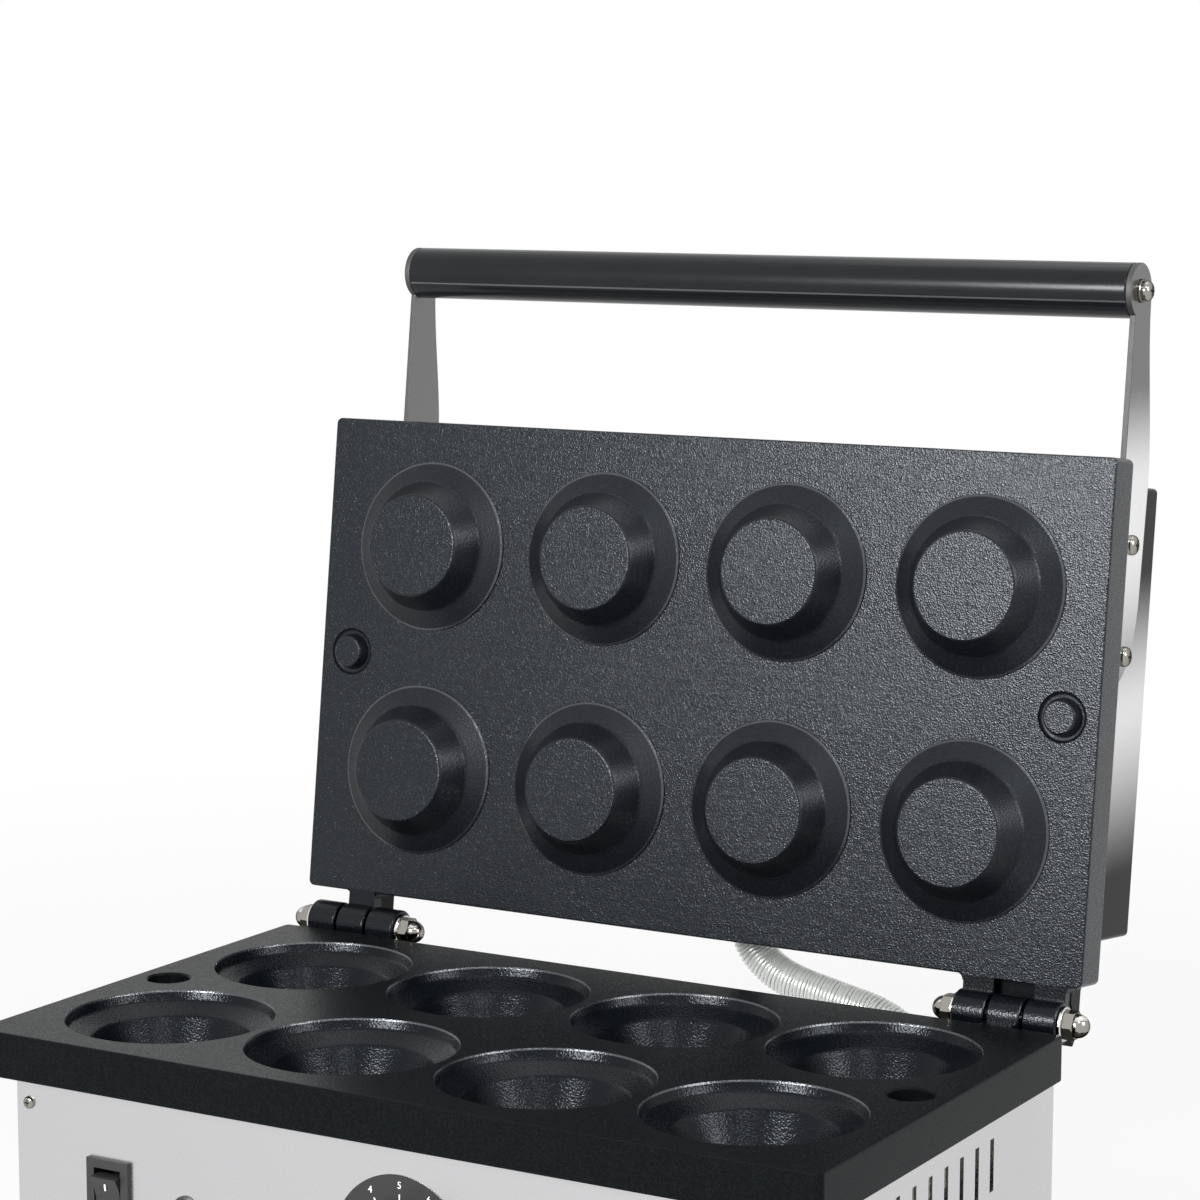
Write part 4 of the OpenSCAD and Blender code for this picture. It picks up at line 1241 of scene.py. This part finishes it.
@dataclass
class UpperPlate:
    """The upper plate, with eight brimmed plugs and two locating pins."""

    casting: Casting
    groove: tuple[Point, ...] = ((10.0, -1.5), (10.8, -1.3), (11.5, -0.7), (11.9, 0), (12.3, 1))
    plug: tuple[Point, ...] = (
        (42.5, -1), (42.5, 0.2), (42.3, 0.8), (41.9, 1.15), (41.3, 1.35), (33.9, 5.3),
        (32.9, 5.85), (32.2, 6.5), (31.8, 7.3), (26.1, 17.3), (25.6, 18.3), (25.0, 18.9), (24.2, 19.2),
    )
    pin: tuple[Point, ...] = ((9.2, -3), (9.0, 0), (8.0, 3.4), (7.7, 3.9), (7.3, 4.2), (6.9, 4.3))
    brim_reach: float = 45

    def on_side(self, face: Face) -> bool:
        """Whether a face is part of a plug's cone or brim."""
        low, high = self.plug[1][1] * MM, (self.plug[-1][1] - 0.6) * MM
        return low < face.center.z < high and self.casting.moulds.reach(face.center) < self.brim_reach

    def on_brim(self, face: Face) -> bool:
        """Whether a face belongs to the rounded edge of a brim."""
        reach = self.casting.moulds.reach(face.center)
        return self.plug[4][0] < reach < self.brim_reach and face.center.z > 0

    def on_far_wall(self, face: Face) -> bool:
        """Whether a face is part of the plate's wall away from the hinge.

        Args:
            face: A face of the plate.

        Returns:
            Whether it is.
        """
        casting = self.casting
        far = -(casting.setback + casting.depth - casting.edge_ease / 2) * MM
        return face.center.y < far and face.normal.y < -0.95

    def round_pin(self, face: Face) -> bool:
        """Whether a face belongs to the groove round a pin or to the pin's side.

        Args:
            face: A face of the plate.

        Returns:
            Whether it does.
        """
        casting, top = self.casting, -self.casting.half_gap
        x, y, z = (c / MM for c in face.center)
        near = math.hypot(abs(x) - casting.pin_x, y + casting.moulds.middle) < self.groove[-1][0]
        return near and (z < top - 0.1 or 0 < z < self.pin[-2][1] + top)

    def build(self) -> None:
        """Sets the plugs and pins on the plate and dresses it."""
        casting = self.casting
        made = Bench.combined(casting.slab(), casting.at_pins(self.groove))
        pins = casting.at_pins(self.pin)
        raised = Bench.joined([casting.at_moulds(self.plug), pins])
        made = casting.hinged(Bench.combined(made, raised, "UNION"))
        Bench.paint(
            made,
            COAT,
            (COAT_SMOOTH, lambda face: self.on_side(face) or self.round_pin(face)),
            # Brim edges and the far wall get the lighter, shinier coat, a painted highlight.
            (COAT_EDGE_HIGHLIGHT, lambda face: self.on_brim(face) or self.on_far_wall(face)),
            (COAT_LUG, casting.on_hinge),
            # The recessed bridge gets the dull coat, a painted shade.
            (COAT_TOP_AND_RECESS_SHADE, casting.on_bridge),
        )
        hand_in(made, "upper_casting", Body.LID, LID_PLACE @ FLIP, ["upper_plate"], 28)


# ---------------------------------------------------------------- fasteners
@dataclass
class PanScrew:
    """A pan head screw with a cross recess, pointing up with its head's underside at zero."""

    radius: float
    length: float
    head: float = 1.9
    recess: float = 0.42
    recess_top: float = 1.2

    def build(self) -> Piece:
        """The screw.

        Returns:
            A screw, with its underside at the origin.
        """
        r = self.radius
        head = self.head * r
        rings = [(r, -self.length), (r, 0), (head, 0), (head, 0.25 * r), (head * 0.97, 0.5 * r)]
        rings += [(head * 0.88, 0.8 * r), (head * 0.72, 1.02 * r), (head * 0.45, 1.18 * r)]
        top = self.recess_top * r
        slot, centre = (head, self.recess * r, top), (0, 0, top)
        across = Bench.moved(Bench.block(slot, centre), turn(90, "Z"))
        cross = Bench.combined(Bench.block(slot, centre), across, "UNION")
        return Bench.combined(Bench.lathe(rings, 40), cross)

    def set(self, node: str, body: Body, spots: Iterable[Matrix]) -> None:
        """Puts a screw at every spot, in place of a CAD node.

        Args:
            node: The node that the screws stand for.
            body: The body that they ride on.
            spots: Their placements.
        """
        made = Bench.paint(Bench.at(self.build(), spots), NICKEL)
        hand_in(made, node + "_fine", body, replaces=[node])


@dataclass
class HingeHardware:
    """Washers and acorn nuts on both ends of both hinge bolts."""

    hinge_x: float = 179.3
    half: float = 25.9
    washer_r: float = 8
    washer_t: float = 1.6
    across: float = 12.3
    nut_h: float = 5.0
    dome_r: float = 5.5
    neck_in: float = 0.5
    # Face tilts below and above which the nuts get painted shade and a painted highlight.
    painted_shade_below: float = -0.3
    painted_highlight_above: float = 0.62

    def ends(self, out: float) -> list[Matrix]:
        """Placements at the four bolt ends, a distance out from the knuckles.

        Args:
            out: Distance from the knuckles' ends.

        Returns:
            The placements.
        """
        return [
            BASE_PLACE @ shift(h * self.hinge_x + e * (self.half + out)) @ turn(e * 90, "Y")
            for h in SIDES
            for e in SIDES
        ]

    def nut(self) -> Piece:
        """A chamfered hexagon under a dome.

        Returns:
            The nut, standing on its flat face.
        """
        top, corner = self.nut_h, self.across / 2 / math.cos(math.radians(30))
        Bench.clear()
        bpy.ops.mesh.primitive_cylinder_add(
            vertices=6, radius=corner * MM, depth=top * MM, location=mm(0, 0, top / 2)
        )
        made = Bench.added()
        wide = corner + 1.5
        chamfer = [(corner - 0.7, -0.1), (wide, top * 0.3), (wide, top - 1.8), (corner - 2, top + 1)]
        made = Bench.combined(made, Bench.lathe(chamfer, 47), "INTERSECT")
        level, neck_r = top + self.neck_in, self.dome_r - self.neck_in
        neck = [(neck_r, top - 1), (neck_r, top + 0.1), (self.dome_r, level)]
        dome = arc(self.dome_r, 8, 84, 11, (0, level))
        return Bench.joined([made, Bench.lathe([*neck, *dome], 48)])

    def washer(self) -> Piece:
        """A flat washer with rolled edges."""
        r, t = self.washer_r, self.washer_t
        return Bench.lathe([(r - 0.4, 0), (r, 0.3), (r, t - 0.4), (r - 0.5, t)], 48)

    def build(self) -> None:
        """Nuts with painted shade on downward faces and a painted highlight on upward faces, and pale
        washers.
        """
        nuts = Bench.at(self.nut(), self.ends(self.washer_t))
        Bench.paint(
            nuts,
            NICKEL,
            (NICKEL_PAINTED_SHADE, lambda face: face.normal.z < self.painted_shade_below),
            (NICKEL_PALE_AND_HIGHLIGHT, lambda face: face.normal.z > self.painted_highlight_above),
        )
        hand_in(nuts, "acorn_nuts_fine", Body.BASE, replaces=["acorn_nuts"])
        washers = Bench.paint(Bench.at(self.washer(), self.ends(0)), NICKEL_PALE_AND_HIGHLIGHT)
        hand_in(washers, "hinge_washers_fine", Body.BASE, replaces=["hinge_washers"])


# ---------------------------------------------------------------- lid
@dataclass
class LidCover:
    """The folded sheet cover on the lid's back, with its four screws."""

    width: float = 394
    front: float = 245
    back: float = 31.3
    low: float = 21.3
    top: float = 94.5
    skirt: float = 4
    sheet: float = 1.2
    corner: float = 2.5
    inner_corner: float = 1.5
    fold: float = 1.6
    screw_x: float = 187
    screw_y: Point = (38.5, 234.5)

    def build(self) -> None:
        """Folds the cover and sets its screws."""
        depth, middle = self.front - self.back, -(self.front + self.back) / 2
        height = self.top - self.low + self.skirt
        centre = (0, middle, self.top - height / 2)
        made = Bench.slab((self.width, depth, height), centre, self.corner, self.fold)
        inner = (self.width - 2 * self.sheet, depth - 2 * self.sheet, height)
        centre = (0, middle, self.top - self.sheet - height / 2)
        made = Bench.combined(made, Bench.slab(inner, centre, self.inner_corner))
        deep = 10 * self.skirt
        below = Bench.block((2 * self.width, 2 * depth, deep), (0, middle, self.low - deep / 2))
        made = Bench.combined(made, below)
        # The sides get the steel with a painted reflection and painted shade; the top is plain steel.
        Bench.paint(made, SHEET, (SHEET_SIDE_PAINTED_REFLECTION, lambda face: abs(face.normal.x) > 0.5))
        hand_in(made, "lid_cover_folded", Body.LID, LID_PLACE, ["lid_cover"], 40)
        spots = [LID_PLACE @ shift(s * self.screw_x, -y, self.top) for s in SIDES for y in self.screw_y]
        PanScrew(radius=2.5, length=12).set("cover_screws", Body.LID, spots)


@dataclass
class Handle:
    """Two shaped arms and the bar between their ends."""

    half: float = 197
    forward: float = 335
    up: float = 48
    bar_r: float = 13
    bar_ease: float = 0.8
    arm_t: float = 3
    arm_ease: float = 0.45
    heel: float = 150.5
    front_up: float = 42.7
    shoulder: Point = (46, 28.3)
    crown: Point = (246, 73)
    screw_up: float = 57
    screw_y: Point = (165.5, 217.5)
    screw_r: float = 2.5
    washer_t: float = 1.2
    # Angle round the bar of the painted reflection line.
    reflection_line: float = math.radians(-63)

    def edge(self) -> list[Point]:
        """The arm's side view: forward is negative x and up is y.

        Returns:
            The outline's points.
        """
        dip = math.degrees(math.asin((self.up - self.front_up) / self.bar_r))
        head = arc(self.bar_r, -dip, -268, 40, (-self.forward, self.up))
        crown, height = self.crown
        level = self.up + self.bar_r
        neck = []
        for step in range(2, 16):
            t = step / 16
            lift = (height - level) * t * t * (3 - 2 * t)
            neck.append((-self.forward + t * (self.forward - crown), level + lift))
        length, drop = self.shoulder
        shoulder = []
        for step in range(19):
            a = math.radians(90 - 5 * step)
            across = -self.heel - length * (1 - math.cos(a))
            shoulder.append((across, self.front_up + drop * math.sin(a)))
        return [*head, *neck, (-crown, height), *shoulder]

    def arm(self, side: int) -> None:
        """One arm, 1 for the right and -1 for the left.

        Args:
            side: Which arm.
        """
        made = Bench.outline(self.edge(), self.arm_t, self.arm_ease)
        # The right arm's faces carry a painted reflection and painted shade; the left arm's are plain
        # steel.
        name, finish = ("right_arm", ARM_PAINTED_REFLECTION) if side > 0 else ("left_arm", ARM)
        # Edges and bevels get the darker steel, a painted shade.
        Bench.paint(made, finish, (ARM_EDGE_PAINTED_SHADE, lambda face: abs(face.normal.z) < 0.95))
        place = LID_PLACE @ shift(side * (self.half + self.arm_t / 2)) @ SIDEWAYS
        hand_in(made, name + "_shaped", Body.LID, place, [name], 40)

    def on_reflection_line(self, face: Face) -> bool:
        """Whether a face of the bar lies on the line along it that is painted lighter, a painted
        reflection.
        """
        return math.degrees(abs(math.atan2(face.normal.z, face.normal.y) - self.reflection_line)) < 2

    def bar(self) -> None:
        """The bar with softly rounded ends."""
        ease = self.bar_ease
        end = arc(ease, -90, 0, 4, (self.bar_r - ease, -self.half + ease))
        made = Bench.lathe(end + [(r, -x) for r, x in reversed(end)], 96)
        # A line along the bar is painted lighter, a painted reflection.
        Bench.paint(Bench.moved(made, ALONG_X), GLOSS, (PAINTED_REFLECTION_LINE, self.on_reflection_line))
        place = LID_PLACE @ shift(0, -self.forward, self.up)
        hand_in(made, "handle_bar_gloss", Body.LID, place, ["handle_bar", "bar_plugs"])

    def washers(self) -> None:
        """A flat washer and a split lock washer under each handle screw."""
        flat_r, split_r, t = self.screw_r * 2.2, self.screw_r * 1.75, self.washer_t
        flat = Bench.lathe([(flat_r - 0.2, 0), (flat_r, 0.2), (flat_r, t - 0.2), (flat_r - 0.2, t)], 40)
        split = Bench.lathe([(split_r, t - 0.1), (split_r, 2 * t)], 40)
        slit = Bench.moved(Bench.block((4, 0.6, 3), (split_r, 0, 2 * t)), turn(115, "Z"))
        pair = Bench.joined([flat, Bench.combined(split, slit)])
        made = Bench.paint(Bench.at(pair, self.ends(0)), NICKEL)
        hand_in(made, "handle_washers_fine", Body.LID, replaces=["handle_washers"])

    def outside(self, side: int, out: float, forward: float, up: float) -> Matrix:
        """A placement that points outwards from an arm's outer face, a distance out."""
        return LID_PLACE @ shift(side * (self.half + self.arm_t + out), -forward, up) @ turn(side * 90, "Y")

    def ends(self, out: float) -> list[Matrix]:
        """Placements at both ends of the bar, a distance out from the arms."""
        return [self.outside(s, out, self.forward, self.up) for s in SIDES]

    def build(self) -> None:
        """Arms, bar, washers and screws."""
        for side in SIDES:
            self.arm(side)
        self.bar()
        self.washers()
        PanScrew(self.screw_r, 20).set("handle_screws", Body.LID, self.ends(2 * self.washer_t))
        spots = [self.outside(s, 0, y, self.screw_up) for s in SIDES for y in self.screw_y]
        PanScrew(self.screw_r, 12).set("arm_screws", Body.LID, spots)


# ---------------------------------------------------------------- conduit
@dataclass
class Conduit:
    """The sprung steel conduit between the base's collar and the lid's, from the hinge axis."""

    radius: float = 9
    wire: float = 0.95
    pitch: float = 2.0
    turn_points: int = 14
    lead: float = 2
    samples: int = 40
    lining_in: float = 1.5
    lining_step: float = 3
    base_mouth: Place = (125, 22, -60)
    route: tuple[Place, ...] = (
        (124, 34, -57), (118, 44, -46), (106, 51, -33), (88, 53.5, -24), (66, 54, -19),
        (44, 54, -14), (30.5, 54, -8.5), (20.5, 54.5, -0.5), (15, 55.5, 8.5),
    )
    lid_mouth: Place = (13, -25.3, 55)

    def stations(self) -> list[Vector]:
        """Points that the conduit's middle passes through, with the lid open.

        Returns:
            The points, in millimetres.
        """
        back = Matrix.Rotation(-OPEN_ANGLE, 4, "X")
        first, last = Vector(self.base_mouth), Vector(self.lid_mouth)
        out = Vector((0, self.lead, 0))
        route = [Vector(spot) for spot in self.route]
        return [first, first + out, *route, back @ (last + out), back @ last]

    def middle(self, step: float) -> list[Vector]:
        """The conduit's smooth middle line, with points a step apart, in millimetres.

        Args:
            step: Distance between the points.

        Returns:
            The points.
        """
        ends = self.stations()
        ends = [2 * ends[0] - ends[1], *ends, 2 * ends[-1] - ends[-2]]
        dense = []
        for a, b, c, d in zip(ends, ends[1:], ends[2:], ends[3:]):
            square, cube = 2 * a - 5 * b + 4 * c - d, 3 * b - a - 3 * c + d
            for i in range(self.samples):
                t = i / self.samples
                dense.append((2 * b + (c - a) * t + square * t**2 + cube * t**3) / 2)
        dense.append(ends[-2])
        even, left = [dense[0]], step
        for a, b in pairwise(dense):
            length = (b - a).length
            while left <= length:
                even.append(a.lerp(b, left / length))
                left += step
            left -= length
        return even

    def helix(self) -> list[Vector]:
        """The wire's path: closed turns round the middle line.

        Returns:
            The path's points.
        """
        line = self.middle(self.pitch / self.turn_points)
        side = Vector((0, 0, 1))
        path = []
        for i, spot in enumerate(line):
            along = (line[min(i + 1, len(line) - 1)] - line[max(i - 1, 0)]).normalized()
            side = (side - side.dot(along) * along).normalized()
            angle = math.tau * i / self.turn_points
            out = math.cos(angle) * side + math.sin(angle) * along.cross(side)
            path.append(spot + (self.radius - self.wire) * out)
        return path

    def build(self) -> None:
        """Winds the spring over its lining."""
        spring = Bench.wire(self.helix(), self.wire, 1)
        lining = Bench.wire(self.middle(self.lining_step), self.radius - self.lining_in * self.wire, 4)
        for made, name, finish in ((spring, "conduit_spring", SPRING), (lining, "conduit_lining", CORE)):
            Bench.paint(Bench.moved(made, BASE_PLACE), finish)
            Bench.smooth(made, 60)
            made.name = name
            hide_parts("conduit")
            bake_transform(made)
            log.info("%s: %d faces", name, len(made.data.polygons))


@dataclass
class Collars:
    """Turned collars that hold the conduit's two ends."""

    reach: float = 12
    flange: float = 16
    flange_t: float = 2.5
    bore: float = 7
    base_place: Place = (125, 12, -60)
    base_length: float = 10
    lid_place: Place = (13, -31.3, 55)
    lid_length: float = 6

    def collar(self, length: float) -> Piece:
        """A flanged collar that points up.

        Args:
            length: How far it stands out.

        Returns:
            The collar.
        """
        r, f, t = self.reach, self.flange, self.flange_t
        rings = [(r, -4), (r, -0.01), (f - 0.3, 0), (f, 0.4), (f, t - 0.5), (f - 0.5, t), (r + 0.6, t)]
        rings += [(r, t + 0.6), (r, length - 0.8), (r - 0.8, length)]
        bore = Bench.lathe([(self.bore, -5), (self.bore, length + 1)], 48)
        return Bench.paint(Bench.combined(Bench.lathe(rings), bore), ZINC)

    def build(self) -> None:
        """Both collars."""
        for body, frame_place, spot, length in (
            (Body.BASE, BASE_PLACE, self.base_place, self.base_length),
            (Body.LID, LID_PLACE, self.lid_place, self.lid_length),
        ):
            node = body.value + "_conduit_collar"
            place = frame_place @ shift(*spot) @ BACKWARD
            hand_in(self.collar(length), node + "_turned", body, place, [node])


# ---------------------------------------------------------------- base
@dataclass
class BaseShell:
    """The housing, its panels and its feet."""

    foot_r: float = 16
    foot_h: float = 22
    foot_x: float = 167
    foot_y: Point = (220, -10)
    floor_z: float = -118
    front: float = 246.2
    panel_screw_x: float = 190
    panel_screw_z: Point = (-33.65, -105.65)

    def feet(self) -> None:
        """Ribbed rubber feet."""
        r, h = self.foot_r, self.foot_h
        rings = [(r - 2.2, 0), (r - 1.2, 0.3), (r - 0.5, 1.2), (r - 0.1, 6), (r - 0.9, 6.8)]
        rings += [(r - 0.9, 7.8), (r + 0.1, 8.6), (r + 0.8, h - 3), (r + 1.0, h - 1), (r + 0.6, h)]
        recess = Bench.lathe([(11, -1), (11, 3), (6, 3.01), (6, 8)], 48)
        foot = Bench.combined(Bench.lathe(rings), recess)
        spots = [
            BASE_PLACE @ shift(s * self.foot_x, -y, self.floor_z - h) for s in SIDES for y in self.foot_y
        ]
        made = Bench.paint(Bench.at(foot, spots), RUBBER)
        hand_in(made, "rubber_feet_ribbed", Body.BASE, replaces=["rubber_feet"])

    def build(self) -> None:
        """Finishes of the housing, with its feet and screws."""
        finish_node(PANEL, "base_housing", "front_panel")
        finish_node(ZINC, "floor_pan", "foot_screws", "pan_screws")
        finish_node(NICKEL, "left_hinge_bolt", "right_hinge_bolt")
        finish_node(BLACK, "cable_gland", "gland_nut")
        self.feet()
        spots = [
            BASE_PLACE @ shift(s * self.panel_screw_x, -self.front, z) @ FORWARD
            for s in SIDES
            for z in self.panel_screw_z
        ]
        PanScrew(radius=1.5, length=7).set("panel_screws", Body.BASE, spots)


@dataclass
class PanelPiece:
    """Something that sits on the front panel, at a distance across it."""

    x: float
    z: float = -69.65
    front: float = 246.2

    def place(self, out: float = 0) -> Matrix:
        """Placement on the panel, looking forward, a distance out."""
        return BASE_PLACE @ shift(self.x, -self.front - out, self.z) @ FORWARD


@dataclass(kw_only=True)
class Dial(PanelPiece):
    """A printed dial plate and its fluted knob."""

    name: str
    body: Body
    labels: Sequence[int]
    dial_r: float = 34
    dial_t: float = 0.6
    start: float = 240
    sweep: float = 300
    tick: Place = (2.4, 0.6, 0.16)
    tick_reach: float = 24.6
    label_reach: float = 29.6
    label_size: float = 4.4
    play: float = 1
    knob_r: float = 22
    knob_h: float = 20
    skirt: float = 5
    flutes: int = 10
    flute_r: float = 5
    flute_in: float = 1.6
    pointer: Place = (1.6, 10.5, 0.5)
    pointer_in: float = 7

    def number(self, label: int, angle: float) -> Piece:
        """A raised number and its tick, at an angle round the dial.

        Args:
            label: The number.
            angle: Its angle round the dial, in radians.

        Returns:
            The number and its tick.
        """
        tick = Bench.block(self.tick, (self.tick_reach, 0, self.dial_t + 0.05))
        Bench.moved(tick, Matrix.Rotation(angle, 4, "Z"))
        Bench.clear()
        bpy.ops.object.text_add()
        text = bpy.context.active_object.data
        text.body = str(label)
        text.size = self.label_size * MM
        text.align_x, text.align_y = "CENTER", "CENTER"
        text.extrude = self.tick[2] / 2 * MM
        reach = self.label_reach
        spot = shift(reach * math.cos(angle), reach * math.sin(angle), self.dial_t + 0.06)
        return Bench.joined([tick, Bench.moved(Bench.meshed(), spot)])

    def dial(self) -> None:
        """The dial plate with its ticks and numbers."""
        r, t = self.dial_r, self.dial_t
        plate = Bench.paint(Bench.lathe([(r, 0), (r, t - 0.2), (r - 0.2, t)], 96), DIAL)
        node = self.name + "_dial"
        hand_in(plate, node + "_plate", Body.BASE, self.place(), [node])
        step = self.sweep / (len(self.labels) - 1)
        marks = [self.number(n, math.radians(self.start - i * step)) for i, n in enumerate(self.labels)]
        printed = Bench.paint(Bench.joined(marks), PRINT)
        hand_in(printed, node + "_print", Body.BASE, self.place())

    def knob(self) -> None:
        """The fluted knob, with a white pointer set at the first number."""
        r, h, skirt, grip = self.knob_r, self.knob_h, self.skirt, self.knob_r - self.skirt
        rings = [(r, 0), (r, skirt - 1.5), (r - 0.4, skirt - 0.6), (r - 1.4, skirt)]
        rings += [(grip + 1.6, skirt + 0.3), (grip + 0.8, skirt + 0.9), (grip, h - 1.6)]
        rings += [(grip - 0.4, h - 0.6), (grip - 1.3, h)]
        made = Bench.lathe(rings, 120)
        flute = Bench.lathe([(self.flute_r, skirt + 2), (self.flute_r, h + 2)], 48)
        step, reach = 360 / self.flutes, grip + self.flute_r - self.flute_in
        spots = [turn((i + 0.5) * step, "Z") @ shift(reach) for i in range(self.flutes)]
        made = Bench.combined(made, Bench.at(flute, spots))
        wide, long, thick = self.pointer
        out = grip - self.pointer_in
        groove = Bench.block((wide + 0.4, long + 1.5, 1.6), (0, out, h))
        made = Bench.eased(Bench.combined(made, groove), 0.25, 40)
        line = Bench.eased(Bench.block(self.pointer, (0, out, h - 0.05 - thick)), 0.15)
        node, place = self.name + "_knob", self.place(self.dial_t + self.play)
        place = place @ turn(self.start - 90, "Z")
        Bench.paint(made, BLACK)
        hand_in(made, node + "_fluted", self.body, place, [node])
        Bench.paint(line, PRINT)
        hand_in(line, node + "_pointer", self.body, place)

    def build(self) -> None:
        """Dial, knob and shaft."""
        self.dial()
        self.knob()
        finish_node(ZINC, self.name + "_shaft")
        finish_node(BLACK, self.name)


@dataclass(kw_only=True)
class Lamp(PanelPiece):
    """A bezelled lamp lens."""

    node: str
    finish: Finish
    radius: float = 5.5

    def build(self) -> None:
        """The lens, with a dark bezel round it."""
        r, place = self.radius, self.place()
        bezel = [(r - 1, -22), (r - 1, -0.02), (r + 0.8, 0), (r + 1, 0.3), (r + 1, 0.9)]
        bezel += [(r + 0.4, 1.4), (r - 0.4, 1.6)]
        ring = Bench.paint(Bench.lathe(bezel, 48), BLACK)
        hand_in(ring, self.node + "_bezel", Body.BASE, place, [self.node])
        lens = [(r - 0.5, 1.5), (r - 0.5, 2.8), (r - 0.9, 3.7), (r - 1.8, 4.4), (r - 3.4, 4.9), (0.4, 5)]
        dome = Bench.paint(Bench.lathe(lens, 48), self.finish)
        hand_in(dome, self.node + "_lens", Body.BASE, place)


@dataclass
class Switch(PanelPiece):
    """The rocker switch with its on and off marks."""

    tilt: float = 9
    half: float = 12
    pivot: float = 5
    bar: Place = (0.8, 0.3, 4.4)
    bar_y: float = -7.62
    bar_lift: float = 0.4
    ring_r: float = 2.1
    ring_bore: float = 1.4
    ring_y: float = -7.5
    ring_drop: float = 0.6

    def build(self) -> None:
        """Dresses the rocker and its bezel and adds the marks."""
        finish_node(BLACK, "switch_body")
        finish_node(ZINC, "switch_pin")
        rocker = Bench.paint(Bench.from_node("switch_rocker", 0.35), BLACK)
        hand_in(rocker, "switch_rocker_eased", Body.ROCKER, replaces=["switch_rocker"])
        bar = Bench.block(self.bar, (0, self.bar_y, self.half / 2 + self.bar_lift))
        ring = Bench.lathe([(self.ring_r, 0), (self.ring_r, self.bar[1])], 32)
        ring = Bench.combined(ring, Bench.lathe([(self.ring_bore, -1), (self.ring_bore, 1)], 32))
        Bench.moved(ring, shift(0, self.ring_y, -self.half / 2 - self.ring_drop) @ FORWARD)
        marks = Bench.paint(Bench.joined([bar, ring]), PRINT)
        place = BASE_PLACE @ shift(self.x, -self.front + self.pivot, self.z) @ turn(self.tilt, "X")
        hand_in(marks, "switch_marks", Body.ROCKER, place)


def dress_innards() -> None:
    """Finishes of the heaters, their insulation and the small parts inside the housing."""
    finish_node(SHEATH, "lower_element", "upper_element")
    finish_node(ZINC, "lower_clamp_bars", "upper_clamp_bars", "lower_clamp_screws", "upper_clamp_screws")
    finish_node(WOOL, "lower_wool_pad", "upper_wool_pad")
    finish_node(SHIELD, "lower_heat_shield", "upper_heat_shield", "cover_standoffs")
    finish_node(ZINC, "lower_plate_bolts", "arm_nuts", "terminal_screw")
    finish_node(BRASS, "sensor_bulb", "earth_stud")
    finish_node(CERAMIC, "terminal_block")


def main() -> None:
    """Sets the camera, then builds and dresses the press."""
    logging.basicConfig(level=logging.INFO, format="%(name)s: %(message)s")
    studio = Studio()
    studio.camera()
    casting = Casting()
    for part in (
        LowerPlate(casting),
        UpperPlate(casting),
        HingeHardware(),
        LidCover(),
        Handle(),
        Conduit(),
        Collars(),
        BaseShell(),
        Dial(118, name="thermostat", body=Body.THERMOSTAT, labels=(0, *range(60, 241, 30))),
        Dial(10, name="timer", body=Body.TIMER, labels=range(11)),
        Lamp(-103, node="power_lamp", finish=RED),
        Lamp(-75, node="heating_lamp", finish=GREEN),
        Switch(-145),
    ):
        part.build()
    dress_innards()
    studio.build()


if __name__ == "__main__":
    main()
